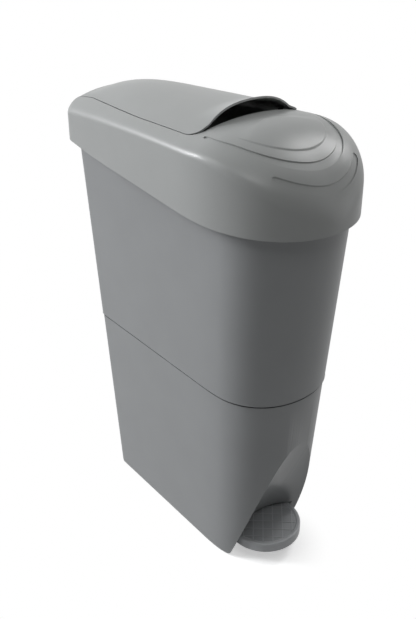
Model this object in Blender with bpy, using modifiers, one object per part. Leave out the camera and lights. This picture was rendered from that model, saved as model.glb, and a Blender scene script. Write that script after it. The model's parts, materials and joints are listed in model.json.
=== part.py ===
"""Pedal operated sanitary container, modelled as an assembly of separate pieces.

Units are metres and +Z is up. The origin is the middle of the object's footprint on
the floor. The pedal is at the front, at -Y, and the flat back is at +Y.
"""

from collections import namedtuple
from math import atan, atan2, cos, pi, radians, sin, sqrt

import bmesh
import bpy
from mathutils import Matrix, Vector

# Body: a tapered tub, narrower towards the back, with a round nose at the front
DATUM_HEIGHT = 0.500
BODY_FOOT_HALF_WIDTH = 0.0648
BODY_FOOT_BACK = 0.1604
BODY_FOOT_FRONT = -0.1536
BODY_DATUM_HALF_WIDTH = 0.0906
BODY_DATUM_BACK = 0.1862
BODY_DATUM_FRONT = -0.1862
BODY_NOSE_LENGTH = 0.0722
BODY_CORNER_RADIUS = 0.009
BODY_WALL = 0.0028
BODY_LIFT = 0.0015
STEP_HEIGHT = 0.2656
STEP_RISE = 0.0010
STEP_DEPTH = 0.0013
RIM_ABOVE_HOOD_EDGE = 0.0170
FLOOR_UNDERSIDE = 0.0470
FLOOR_THICKNESS = 0.0030
FLOOR_FILLET = 0.0060
BACK_TAPER_SHARE = 0.2885
TAPER_BLEND_SHARE = 0.10
NOSE_POWER_SHARE = 2.12

# Scoop in the front of the body, over the pedal
SCOOP_FOOT_Y = -0.0790
SCOOP_LEAN_SHARE = 0.455
SCOOP_HALF_WIDTH = 0.0800
SCOOP_SIDE_DEPTH = 0.0448
SCOOP_FRONT = -0.2500
SCOOP_TOP = 0.2300
SCOOP_WALL = 0.0028

# Hood: the overhanging cover with a domed nose, sized from the tub that it covers
HOOD_OVERHANG = 0.0150
HOOD_EDGE_RISE = 0.0017
HOOD_RAKE_SHARE = 0.076
HOOD_EDGE_BACK_LIFT = 0.0046
HOOD_EDGE_LIFT_START_SHARE = 0.65
HOOD_NOSE_LENGTH = 0.1141
HOOD_CORNER_RADIUS = 0.016
HOOD_WALL = 0.0022
SHOULDER_RISE = 0.0653
SHOULDER_NOSE_DROP = 0.0653
SHOULDER_NOSE_BOW_SHARE = -1.348
SHOULDER_BACK_DROP = 0.0105
SHOULDER_BACK_POWER_SHARE = 2.2
SHOULDER_ROUND_SIDE = 0.0040
SHOULDER_ROUND_NOSE = 0.0045
SHOULDER_SHARE = 0.93
SHOULDER_STEP_SHARE = 0.02
DOME_RISE = 0.0223
DOME_BACK_DROP = 0.0080
DOME_SIDE_POWER_SHARE = 0.650
DOME_NOSE_POWER_SHARE = 0.612
CREASE_STEP = 0.0010
CREASE_SHARE = 0.600
CREASE_BLEND_SHARE = 0.030
CREASE_START_SHARE = 0.15
CREASE_FADE_SHARE = 0.20
HOOD_RING_SHARES = (0.90, 0.86, 0.82, 0.78, 0.74, 0.70, 0.655, 0.615, 0.600, 0.585, 0.50,
                    0.40, 0.30, 0.20, 0.09)

# Grooves round the nose
GROOVE_DEPTH = 0.0013
GROOVE_TAIL = 0.0105
GROOVE_END_SHARES = (0.35, 0.72, 0.93, 1.0)
GROOVE_TAIL_SHARES = (1.0, 0.85, 0.60, 0.25)
UPPER_GROOVE_SHARES = (0.708, 0.776)
UPPER_GROOVE_NARROW_SHARE = 0.027
UPPER_GROOVE_FADE_SHARE = 0.30
UPPER_GROOVE_TURN_SHARES = (0.04, 0.12, 0.20, 0.28, 0.36, 0.44, 0.52, 0.60, 0.68, 0.76, 0.84, 0.92, 1.0)
LOWER_GROOVE_SHARES = (0.873, 0.926)
LOWER_GROOVE_TURN_SHARES = (0.525, 0.535, 0.555, 0.59, 0.64, 0.70, 0.76, 0.82, 0.88, 0.94, 1.0)

# Ribs inside the hood that stand on the liner ring
RIB_THICKNESS = 0.0025
RIB_HEIGHT = 0.0200
RIB_REACH = 0.0060
RIB_Y_SHARES = (-0.28, 0.18, 0.62)
BACK_RIB_X = 0.0630

# Flap: the rear lid, hinged at the back, with a raised arch as its front edge
FLAP_SETBACK = 0.0211
FLAP_BACK_INSET = 0.0007
FLAP_SEAM_GAP = 0.0009
FLAP_CORNER_LENGTH = 0.0180
FLAP_CORNER_WIDTH = 0.0130
FLAP_WALL = 0.0022
FLAP_CROWN = 0.0214
FLAP_CROWN_LOSS = 0.0182
FLAP_CROWN_PEAK_SHARE = 0.506
FLAP_CROWN_LOSS_POWER_SHARE = 3.05
FLAP_CROWN_POWER_SHARE = 2.18
ARCH_LIP = 0.0072
ARCH_LIP_LENGTH = 0.0350
ARCH_INSET = 0.0230
FLAP_BACK_ROUND = 0.0140
FLAP_BACK_FALL_SHARE = 0.60
FLAP_BACK_DROP = 0.0118
FLAP_CORNER_ROW_SHARES = (0.0, 0.06, 0.20, 0.45, 0.80, 1.2, 1.7)
FLAP_ROUND_ROW_SHARES = (0.30, 0.60, 0.85, 1.0)
SEAM_SHARE = 0.8145
SEAM_BACK_LOSS_SHARE = 0.180
SEAM_LOSS_START_SHARE = 0.406
SEAM_LOSS_POWER_SHARE = 1.6
SEAM_PARALLEL_SHARE = 0.875

# Flap hinge
HINGE_INSET = 0.0212
HINGE_BELOW_SHOULDER = 0.0040
HINGE_SHAFT_RADIUS = 0.0020
LUG_MARGIN = 0.0040
LUG_THICKNESS = 0.0030
LUG_HALF_DEPTH = 0.0060
LUG_DROP = 0.0060
KNUCKLE_MARGIN = 0.0040
KNUCKLE_THICKNESS = 0.0040
PIN_END = 0.0010

# Flap rests at its front corners
REST_INSET = 0.0140
REST_LENGTH = 0.0190
REST_BEHIND_FRONT = 0.0240
REST_HALF_DEPTH = 0.0060
REST_LOW = 0.0100
REST_TOP_DROP = 0.0065
BUMPER_INSET = 0.0040
BUMPER_RADIUS = 0.0030

# Shield behind the rear edge of the dome
SHIELD_LAP = 0.0100
SHIELD_WALL = 0.0018
SHIELD_INSET = 0.0170
SHIELD_STATION_SHARES = (
    (-1.0, 0.0, 0.50, 0.0), (-0.35, 0.0, 0.12, 0.0), (0.30, 0.0, 0.0, 0.0), (0.70, 0.0, 0.40, 0.0),
    (0.0, 0.30, 0.0, 0.30), (0.0, 0.60, 0.0, 0.65), (0.0, 1.0, 0.0, 1.0),
)
SHIELD_REACH = 0.0700
SHIELD_FALL = 0.0420
SHIELD_LIP = 0.0050
SHIELD_SCREW_X = 0.0350
SHIELD_SCREW_PLACE_SHARE = 0.60
SHIELD_SCREW_DROP_SHARE = 0.30

# Liner ring on the rim of the tub
RING_OUT = 0.0020
RING_IN = 0.0080
RING_THICKNESS = 0.0025
RING_SKIRT_DROP = 0.0060

# Pedal
PEDAL_RADIUS = 0.0501
PEDAL_Y = -0.1110
PEDAL_UNDERSIDE = 0.0193
PEDAL_TOP = 0.0333
PEDAL_RIM_WIDTH = 0.0046
PEDAL_TREAD_SINK = 0.0015
PEDAL_SKIRT = 0.0025
PEDAL_PLATE = 0.0030
PEDAL_EDGE_ROUND = 0.0020
PEDAL_BOSS_RADIUS = 0.0085
PEDAL_BOSS_SPACING = 0.0133
PEDAL_SWING = radians(5.4)
FLAP_SWING = radians(48.0)

# Lever and its axle
AXLE_Y = 0.0120
AXLE_HEIGHT = 0.0215
AXLE_RADIUS = 0.0025
LEVER_HALF_WIDTH = 0.0120
LEVER_METAL = 0.0020
LEVER_TOP = 0.0262
LEVER_DEPTH = 0.0090
LEVER_FRONT_REACH = 0.0170
LEVER_BACK_REACH = 0.0080
BLOCK_GAP = 0.0015
BLOCK_THICKNESS = 0.0080
BLOCK_HALF_DEPTH = 0.0080
BLOCK_FOOT_HALF_DEPTH = 0.0170
BLOCK_FOOT_HEIGHT = 0.0040
BLOCK_BELOW_AXLE = 0.0055
BLOCK_PAD_DEPTH = 0.0060
CLIP_RADIUS = 0.0050
CLIP_THICKNESS = 0.0010

# Push rod inside the back wall
ROD_RADIUS = 0.0025
ROD_FOOT_RADIUS = 0.0055
ROD_FOOT_HEIGHT = 0.0070
ROD_FOOT_CROWN = 0.0010
ROD_HEAD_RADIUS = 0.0070
ROD_HEAD_HEIGHT = 0.0120
ROD_SOCKET_WALL = 0.0020
ROD_HOLE_MARGIN = 0.0015
GUIDE_HEIGHT_LOW = 0.1200
GUIDE_BELOW_RIM = 0.0400
GUIDE_HALF_WIDTH = 0.0060
GUIDE_HALF_HEIGHT = 0.0060
GUIDE_BODY_HALF_HEIGHT = 0.0050
GUIDE_FRONT_REACH = 0.0055
GUIDE_EAR_HALF_WIDTH = 0.0180
GUIDE_EAR_THICKNESS = 0.0030
GUIDE_PAD_THICKNESS = 0.0030

# Crank under the flap
CRANK_NOSE_RADIUS = 0.0040
CRANK_HALF_WIDTH = 0.0040
CRANK_SEAT_DROP = 0.0165
CRANK_FLANGE_HALF_WIDTH = 0.0130
CRANK_FLANGE_FRONT = 0.0210
CRANK_FLANGE_BACK = 0.0060
CRANK_FLANGE_THICKNESS = 0.0030

# Feet and fasteners
FOOT_RADIUS = 0.0065
FOOT_POST_RADIUS = 0.0080
FOOT_STEM_RADIUS = 0.0030
FOOT_STEM_LENGTH = 0.0080
FOOT_EDGE_ROUND = 0.0004
FRONT_FOOT_X = 0.0520
FRONT_FOOT_Y = -0.0600
BACK_FOOT_X = 0.0360
BACK_FOOT_Y = 0.1380
SCREW_RADIUS = 0.0015
SCREW_HEAD_RADIUS = 0.0030
SCREW_HEAD_HEIGHT = 0.0018
SCREW_BITE = 0.0040

CLEARANCE = 0.0003
OVERRUN = 0.0200
WALL_SLOPE_SHARE = 1.15
FILLET_MID_SHARE = 0.30
SCREW_RIM_SHARE = 0.60
SCREW_CROWN_SHARE = 0.70
SIDE_STEP_POWER_SHARE = 1.4

# Counts of faces round the shapes
NOSE_STEPS = 12
SIDE_STEPS = 5
CORNER_STEPS = 4
BACK_STEPS = 3
ROUND_STEPS = 40
SMALL_STEPS = 16
SHOULDER_STEPS = 5

Plan = namedtuple("Plan", "half_width back front nose corner")
Section = namedtuple("Section", "inner outer")


def clamp(value, low=0.0, high=1.0):
    """Keep a value between two limits."""
    return max(low, min(high, value))


def ease(value):
    """Ease a share from nought to one."""
    share = clamp(value)
    return share * share * (3.0 - 2.0 * share)


def mix(first, second, share):
    """Go from the first value to the second one."""
    return first + (second - first) * share


# Sizes that follow from others
HOOD_HALF_WIDTH = BODY_DATUM_HALF_WIDTH + HOOD_OVERHANG
HOOD_BACK = BODY_DATUM_BACK + HOOD_OVERHANG
HOOD_FRONT = BODY_DATUM_FRONT - HOOD_OVERHANG
HOOD_NOSE_START = HOOD_FRONT + HOOD_NOSE_LENGTH
HOOD_EDGE_HEIGHT = DATUM_HEIGHT + HOOD_EDGE_RISE
SHOULDER_HEIGHT = HOOD_EDGE_HEIGHT + SHOULDER_RISE
DOME_HEIGHT = SHOULDER_HEIGHT + DOME_RISE
ROOF = DOME_HEIGHT + FLAP_CROWN + OVERRUN
FLAP_FRONT = HOOD_NOSE_START + FLAP_SETBACK
FLAP_BACK = HOOD_BACK - FLAP_BACK_INSET
HINGE_Y = HOOD_BACK - HINGE_INSET
HINGE_HEIGHT = SHOULDER_HEIGHT - HINGE_BELOW_SHOULDER
FLAP_BACK_FOOT = HINGE_HEIGHT - FLAP_BACK_DROP
REST_Y = FLAP_FRONT + REST_BEHIND_FRONT
GUIDE_HEIGHT_HIGH = DATUM_HEIGHT - GUIDE_BELOW_RIM


def wall_cut_height():
    """Return the height to which the hood's back wall is cut, so that the flap's foot swings past."""
    reach = FLAP_BACK - HINGE_Y
    inner = HOOD_BACK - HOOD_WALL - HINGE_Y
    drop = sqrt(max(reach * reach + FLAP_BACK_DROP * FLAP_BACK_DROP - inner * inner, 0.0))
    return HINGE_HEIGHT - max(drop, FLAP_BACK_DROP) - 2.0 * CLEARANCE


# Plan outlines
def body_plan(height, inset=0.0, grow=0.0):
    """Return the tub's plan at a height, drawn in by a wall."""
    share = height / DATUM_HEIGHT
    reach = grow - inset
    return Plan(
        mix(BODY_FOOT_HALF_WIDTH, BODY_DATUM_HALF_WIDTH, share) + reach,
        mix(BODY_FOOT_BACK, BODY_DATUM_BACK, share) + reach,
        mix(BODY_FOOT_FRONT, BODY_DATUM_FRONT, share) - reach,
        BODY_NOSE_LENGTH + reach,
        max(BODY_CORNER_RADIUS + reach, BODY_WALL),
    )


def hood_plan(share=1.0):
    """Return the hood's plan, drawn in towards its middle line."""
    start = HOOD_FRONT + HOOD_NOSE_LENGTH
    return Plan(
        HOOD_HALF_WIDTH * share,
        HOOD_BACK - HOOD_HALF_WIDTH * (1.0 - share),
        start - HOOD_NOSE_LENGTH * share,
        HOOD_NOSE_LENGTH * share,
        HOOD_CORNER_RADIUS * share,
    )


def taper(plan, place):
    """Return the share of the full width that is left at a place behind the nose."""
    start = plan.front + plan.nose
    along = clamp((place - start) / (plan.back - start))
    blend = TAPER_BLEND_SHARE
    run = along * along / (2.0 * blend) if along < blend else along - blend / 2.0
    return 1.0 - BACK_TAPER_SHARE * run / (1.0 - blend / 2.0)


def plan_half(plan):
    """Return the right half of a plan, from the middle of the nose to the back."""
    start = plan.front + plan.nose
    power = 2.0 / NOSE_POWER_SHARE
    points = []
    for step in range(NOSE_STEPS):
        angle = step / NOSE_STEPS * pi / 2.0
        points.append((plan.half_width * sin(angle) ** power,
                       start - plan.nose * cos(angle) ** power))
    side_end = plan.back - plan.corner
    for step in range(SIDE_STEPS):
        share = (step / SIDE_STEPS) ** SIDE_STEP_POWER_SHARE
        place = mix(start, side_end, share)
        points.append((plan.half_width * taper(plan, place), place))
    corner_x = plan.half_width * taper(plan, side_end) - plan.corner
    for step in range(CORNER_STEPS):
        angle = step / CORNER_STEPS * pi / 2.0
        points.append((corner_x + plan.corner * cos(angle),
                       side_end + plan.corner * sin(angle)))
    for step in range(BACK_STEPS + 1):
        points.append((corner_x * (1.0 - step / BACK_STEPS), plan.back))
    return points


def plan_outline(plan):
    """Return the closed outline of a plan, anticlockwise from above."""
    half = plan_half(plan)
    mirrored = [(-across, place) for across, place in reversed(half[1:-1])]
    return half + mirrored


# Heights
def hood_edge(place):
    """Return the height of the hood's lower edge, which lifts a little more at the back."""
    start = mix(HOOD_NOSE_START, HOOD_BACK, HOOD_EDGE_LIFT_START_SHARE)
    back = clamp((place - start) / (HOOD_BACK - start))
    return HOOD_EDGE_HEIGHT + HOOD_RAKE_SHARE * place + HOOD_EDGE_BACK_LIFT * back * back


def rim_ring(inset=0.0, grow=0.0, above=0.0):
    """Return the ring of points round the tub's raked rim."""
    low = plan_outline(body_plan(0.0, inset, grow))
    high = plan_outline(body_plan(DATUM_HEIGHT, inset, grow))
    ring = []
    base = HOOD_EDGE_HEIGHT + RIM_ABOVE_HOOD_EDGE + above
    for (low_x, low_y), (high_x, high_y) in zip(low, high):
        lean = (high_y - low_y) / DATUM_HEIGHT
        height = (base + HOOD_RAKE_SHARE * low_y) / (1.0 - HOOD_RAKE_SHARE * lean)
        share = height / DATUM_HEIGHT
        ring.append(Vector((mix(low_x, high_x, share), mix(low_y, high_y, share), height)))
    return ring


def shoulder_height(turn, along):
    """Return the height at which the hood's top would meet its wall."""
    bow = SHOULDER_NOSE_BOW_SHARE * (turn - 1.0 / 2.0) * (turn * (1.0 - turn)) ** 2
    back = along ** SHOULDER_BACK_POWER_SHARE
    return SHOULDER_HEIGHT - SHOULDER_NOSE_DROP * (ease(turn) + bow) - SHOULDER_BACK_DROP * back


def hood_place(across, place):
    """Return how far out, how far round the nose and how far back a point lies."""
    plan = hood_plan()
    start = plan.front + plan.nose
    forward = max(0.0, start - place) / plan.nose
    side = abs(across) / (plan.half_width * taper(plan, place))
    power = NOSE_POWER_SHARE
    out = min(1.0, (forward ** power + side ** power) ** (1.0 / power))
    turn = atan2(forward, side) / (pi / 2.0) if forward > 0.0 else 0.0
    along = clamp((place - start) / (plan.back - start))
    return out, turn, along


def hood_top(across, place):
    """Return the height of the hood's upper surface."""
    out, turn, along = hood_place(across, place)
    low = shoulder_height(turn, along)
    high = DOME_HEIGHT - DOME_BACK_DROP * along ** 3
    power = mix(DOME_SIDE_POWER_SHARE, DOME_NOSE_POWER_SHARE, ease(turn))
    height = low + (high - low) * (1.0 - out * out) ** power
    crease = ease((CREASE_SHARE + CREASE_BLEND_SHARE / 2.0 - out) / CREASE_BLEND_SHARE)
    fade = ease((turn - CREASE_START_SHARE) / CREASE_FADE_SHARE)
    return height + CREASE_STEP * crease * fade


def seam_half_width(place):
    """Return how far out the seam between hood and flap lies: closer in towards the back."""
    plan = hood_plan()
    place = min(place, mix(HOOD_NOSE_START, HOOD_BACK, SEAM_PARALLEL_SHARE))
    start = mix(HOOD_NOSE_START, HOOD_BACK, SEAM_LOSS_START_SHARE)
    back = clamp((place - start) / (HOOD_BACK - start))
    share = SEAM_SHARE - SEAM_BACK_LOSS_SHARE * back ** SEAM_LOSS_POWER_SHARE
    return plan.half_width * taper(plan, place) * share


def flap_half_width(place):
    """Return the flap's half width at a place, rounded in at the front corners."""
    width = seam_half_width(place) - FLAP_SEAM_GAP
    share = clamp((FLAP_FRONT + FLAP_CORNER_LENGTH - place) / FLAP_CORNER_LENGTH)
    return width - FLAP_CORNER_WIDTH * (1.0 - sqrt(1.0 - share * share))


def flap_top(across, place):
    """Return the height of the flap's upper surface."""
    edge = seam_half_width(place)
    seam = hood_top(edge, place)
    peak = mix(HOOD_NOSE_START, FLAP_BACK, FLAP_CROWN_PEAK_SHARE)
    fall = clamp((place - peak) / (FLAP_BACK - peak))
    crown = FLAP_CROWN - FLAP_CROWN_LOSS * fall ** FLAP_CROWN_LOSS_POWER_SHARE
    height = seam + crown * (1.0 - clamp(abs(across) / edge) ** FLAP_CROWN_POWER_SHARE)
    near = clamp(1.0 - (place - FLAP_FRONT) / ARCH_LIP_LENGTH)
    arch = seam_half_width(FLAP_FRONT) - ARCH_INSET
    lip = clamp(1.0 - (across / arch) ** 4)
    return height + ARCH_LIP * lip * near * near


# Scene and object helpers
def clear_scene():
    """Remove every object from the scene."""
    for item in list(bpy.data.objects):
        bpy.data.objects.remove(item, do_unlink=True)


def new_collection(name):
    """Make a collection in the scene."""
    group = bpy.data.collections.new(name)
    bpy.context.scene.collection.children.link(group)
    return group


def surface_material(name, colour, roughness, metallic=0.0):
    """Make a Principled material with one colour."""
    item = bpy.data.materials.new(name)
    item.use_nodes = True
    shader = item.node_tree.nodes["Principled BSDF"]
    shader.inputs["Base Color"].default_value = (*colour, 1.0)
    shader.inputs["Roughness"].default_value = roughness
    shader.inputs["Metallic"].default_value = metallic
    item.diffuse_color = (*colour, 1.0)
    return item


clear_scene()
PARTS = new_collection("sanitary_container")
CUTTERS = new_collection("cutters")

SHELL_GREY = (0.30, 0.31, 0.31)
DARK_GREY = (0.045, 0.047, 0.048)
STEEL = (0.55, 0.56, 0.57)
RUBBER = (0.02, 0.02, 0.02)


def finish_plastic(name):
    """Return the grey moulded plastic of one piece."""
    return surface_material(name + "_plastic", SHELL_GREY, 0.48)


def finish_dark(name):
    """Return the dark moulded plastic of one piece."""
    return surface_material(name + "_dark_plastic", DARK_GREY, 0.55)


def finish_steel(name):
    """Return the plated steel of one piece."""
    return surface_material(name + "_steel", STEEL, 0.35, 1.0)


def finish_rubber(name):
    """Return the rubber of one piece."""
    return surface_material(name + "_rubber", RUBBER, 0.85)


def place_mesh(name, form, finish=None):
    """Put a bmesh in the scene, as a part with a finish or else as a cutter."""
    bmesh.ops.recalc_face_normals(form, faces=form.faces)
    mesh = bpy.data.meshes.new(name)
    form.to_mesh(mesh)
    form.free()
    item = bpy.data.objects.new(name, mesh)
    if finish is None:
        CUTTERS.objects.link(item)
        item.hide_render = True
        item.display_type = "WIRE"
    else:
        PARTS.objects.link(item)
        mesh.materials.append(finish(name))
    return item


def soften(item, angle=radians(35.0)):
    """Shade a round piece smooth and keep its edges sharp."""
    item.data.shade_smooth()
    item.data.set_sharp_from_angle(angle=angle)


def block(name, low, high, finish=None, turn=None):
    """Make a box between two corners, turned in its own frame if asked."""
    size = Vector(high) - Vector(low)
    centre = (Vector(high) + Vector(low)) / 2.0
    form = bmesh.new()
    bmesh.ops.create_cube(form, size=1.0, matrix=Matrix.Translation(centre) @ Matrix.Diagonal((*size, 1.0)))
    if turn is not None:
        form.transform(turn)
    return place_mesh(name, form, finish)


def bar(name, start, end, radius, finish=None, steps=SMALL_STEPS, turn=None):
    """Make a cylinder between two points."""
    first = Vector(start)
    run = Vector(end) - first
    form = bmesh.new()
    aim = run.to_track_quat("Z", "Y").to_matrix().to_4x4()
    shift = Matrix.Translation(first + run / 2.0)
    bmesh.ops.create_cone(form, cap_ends=True, segments=steps, radius1=radius, radius2=radius,
                          depth=run.length, matrix=shift @ aim)
    if turn is not None:
        form.transform(turn)
    item = place_mesh(name, form, finish)
    soften(item)
    return item


def turned(name, profile, finish=None, steps=ROUND_STEPS, place=None):
    """Turn a profile of radius and height pairs about its upright axis."""
    mesh = bpy.data.meshes.new(name)
    points = [(radius, 0.0, height) for radius, height in profile]
    edges = [(index, index + 1) for index in range(len(points) - 1)]
    mesh.from_pydata(points, edges, [])
    item = bpy.data.objects.new(name, mesh)
    screw = item.modifiers.new("turn", "SCREW")
    screw.axis = "Z"
    screw.angle = 2.0 * pi
    screw.steps = steps
    screw.render_steps = steps
    screw.use_merge_vertices = True
    screw.merge_threshold = 0.000001
    screw.use_normal_calculate = False
    if place is not None:
        item.matrix_world = place
    if finish is None:
        CUTTERS.objects.link(item)
        item.hide_render = True
        item.display_type = "WIRE"
    else:
        PARTS.objects.link(item)
        mesh.materials.append(finish(name))
    return item


def stitch(form, first, second):
    """Join two closed rings of vertices with quads."""
    count = len(first)
    for index in range(count):
        after = (index + 1) % count
        form.faces.new((first[index], first[after], second[after], second[index]))


def close_along(form, ring):
    """Close a narrow symmetric ring with strips from side to side."""
    count = len(ring)
    middle = count // 2
    form.faces.new((ring[0], ring[1], ring[-1]))
    for index in range(1, middle - 1):
        form.faces.new((ring[index], ring[index + 1], ring[count - index - 1], ring[count - index]))
    form.faces.new((ring[middle - 1], ring[middle], ring[middle + 1]))


def loft(name, rings, finish=None, open_start=False, hollow=False):
    """Make a body through a row of closed rings of points."""
    form = bmesh.new()
    rows = [[form.verts.new(point) for point in ring] for ring in rings]
    for first, second in zip(rows, rows[1:]):
        stitch(form, first, second)
    if hollow:
        stitch(form, rows[-1], rows[0])
    elif open_start:
        close_along(form, rows[-1])
    else:
        form.faces.new(rows[-1])
        form.faces.new(list(reversed(rows[0])))
    return place_mesh(name, form, finish)


def prism(name, outline, low, high, finish=None):
    """Make a straight body on a closed outline."""
    rings = [[Vector((across, place, height)) for across, place in outline] for height in (low, high)]
    return loft(name, rings, finish)


def sheet(name, rows, wall, finish, outward=1.0):
    """Make a curved plate from rows of points, thickened on one side."""
    form = bmesh.new()
    grid = [[form.verts.new(point) for point in row] for row in rows]
    for first, second in zip(grid, grid[1:]):
        for index in range(len(first) - 1):
            form.faces.new((first[index], first[index + 1], second[index + 1], second[index]))
    item = place_mesh(name, form, finish)
    thicken(item, wall, outward)
    return item


def thicken(item, wall, outward=1.0):
    """Give an open surface its wall, inwards from the face side."""
    shell = item.modifiers.new("wall", "SOLIDIFY")
    shell.thickness = wall
    shell.offset = -outward
    shell.use_even_offset = True
    shell.use_quality_normals = True
    return shell


def combine(item, other, operation):
    """Add or take away another body with an exact Boolean."""
    step = item.modifiers.new(operation.lower(), "BOOLEAN")
    step.operation = operation
    step.solver = "EXACT"
    step.object = other


def cut(item, *others):
    """Take other bodies away from a piece."""
    for other in others:
        combine(item, other, "DIFFERENCE")


def join(item, *others):
    """Fuse other bodies to a piece."""
    for other in others:
        combine(item, other, "UNION")


def hanging_block(name, top, sides, low, sink):
    """Make a block that hangs from a curved surface, with its top inside the wall."""
    left, right, front, back = sides
    form = bmesh.new()
    corners = [(left, front), (right, front), (right, back), (left, back)]
    base = [form.verts.new((across, place, low)) for across, place in corners]
    roof = [form.verts.new((across, place, top(across, place) - sink)) for across, place in corners]
    stitch(form, base, roof)
    form.faces.new(list(reversed(base)))
    form.faces.new(roof)
    return place_mesh(name, form)


def screw(name, seat, direction, length):
    """Make a pan head screw whose head bears on a seat and whose shank runs onwards."""
    axis = Vector(direction).normalized()
    profile = [
        (0.0, length),
        (SCREW_RADIUS, length),
        (SCREW_RADIUS, 0.0),
        (SCREW_HEAD_RADIUS, 0.0),
        (SCREW_HEAD_RADIUS, -SCREW_HEAD_HEIGHT * SCREW_RIM_SHARE),
        (SCREW_HEAD_RADIUS * SCREW_CROWN_SHARE, -SCREW_HEAD_HEIGHT),
        (0.0, -SCREW_HEAD_HEIGHT),
    ]
    aim = axis.to_track_quat("Z", "Y").to_matrix().to_4x4()
    start = Vector(seat) - axis * CLEARANCE
    item = turned(name, profile, finish_steel, SMALL_STEPS, Matrix.Translation(start) @ aim)
    return item


def screw_hole(name, seat, direction, length):
    """Make the cutter for a screw's hole, from before its seat to past its tip."""
    axis = Vector(direction).normalized()
    start = Vector(seat) - axis * SCREW_HEAD_HEIGHT
    end = Vector(seat) + axis * (length + CLEARANCE)
    return bar(name, start, end, SCREW_RADIUS + CLEARANCE)


def pivot(name, place):
    """Make an empty that marks a joint's axis."""
    item = bpy.data.objects.new(name, None)
    item.empty_display_size = BODY_WALL
    PARTS.objects.link(item)
    item.location = place
    return item


def hang_on(parent, *items):
    """Parent pieces to an empty and keep them where they are."""
    back = Matrix.Translation(parent.location).inverted()
    for item in items:
        item.parent = parent
        item.matrix_parent_inverse = back


# Mechanism layout: the rod's line follows from the lever's lift and the flap's swing
BACK_LEAN = (BODY_DATUM_BACK - BODY_FOOT_BACK) / DATUM_HEIGHT
BACK_ANGLE = atan(BACK_LEAN)
HALF_SWING = FLAP_SWING / 2.0
LIFT_SHARE = sin(PEDAL_SWING) / (2.0 * sin(HALF_SWING)) * cos(HALF_SWING)


def back_line(height):
    """Return where the outside of the tub's back wall is at a height."""
    return BODY_FOOT_BACK + BACK_LEAN * height


def solve_rod():
    """Return the rod's distance inside the back and the crank's radius."""
    reach = back_line(LEVER_TOP) - AXLE_Y
    height = HINGE_HEIGHT
    radius = 0.0
    inside = 0.0
    for _ in range(20):
        inside = (back_line(height) - HINGE_Y + reach * LIFT_SHARE) / (1.0 + LIFT_SHARE)
        radius = (reach - inside) * LIFT_SHARE / cos(HALF_SWING)
        height = HINGE_HEIGHT - radius * sin(HALF_SWING)
    return inside, radius


ROD_INSIDE, CRANK_RADIUS = solve_rod()
NOSE_Y = HINGE_Y - CRANK_RADIUS * cos(HALF_SWING)
NOSE_HEIGHT = HINGE_HEIGHT - CRANK_RADIUS * sin(HALF_SWING)
ROD_AXIS = Vector((0.0, sin(BACK_ANGLE), cos(BACK_ANGLE)))
NOSE_POINT = Vector((0.0, NOSE_Y, NOSE_HEIGHT))
ROD_TOP = NOSE_POINT - ROD_AXIS * (CRANK_NOSE_RADIUS + CLEARANCE)
ROD_BASE = ROD_TOP - ROD_AXIS * ((ROD_TOP.z - LEVER_TOP - CLEARANCE) / ROD_AXIS.z
                                 - ROD_FOOT_RADIUS * BACK_LEAN)
LEVER_REACH = ROD_BASE.y - AXLE_Y


def rod_frame(point):
    """Return a frame at a point with its upright along the rod."""
    return Matrix.Translation(point) @ Matrix.Rotation(-BACK_ANGLE, 4, "X")


# Tub
def make_scoop(name, grow, low, high):
    """Make the body of the scoop: a leaning trough, open to the front."""
    rings = []
    steps = 14
    curve = SCOOP_SIDE_DEPTH / SCOOP_HALF_WIDTH ** 2
    for height in (low, high):
        ring = []
        for step in range(steps + 1):
            across = SCOOP_HALF_WIDTH * (1.0 - 2.0 * step / steps)
            slope = 2.0 * curve * across
            spread = sqrt(1.0 + slope * slope + SCOOP_LEAN_SHARE ** 2)
            place = SCOOP_FOOT_Y - SCOOP_LEAN_SHARE * height - curve * across * across + grow * spread
            ring.append(Vector((across, place, height)))
        ring.append(Vector((-SCOOP_HALF_WIDTH, SCOOP_FRONT, height)))
        ring.append(Vector((SCOOP_HALF_WIDTH, SCOOP_FRONT, height)))
        rings.append(ring)
    return loft(name, rings)


def level_ring(plan, height):
    """Return a plan's outline at one height."""
    return [Vector((across, place, height)) for across, place in plan_outline(plan)]


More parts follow.
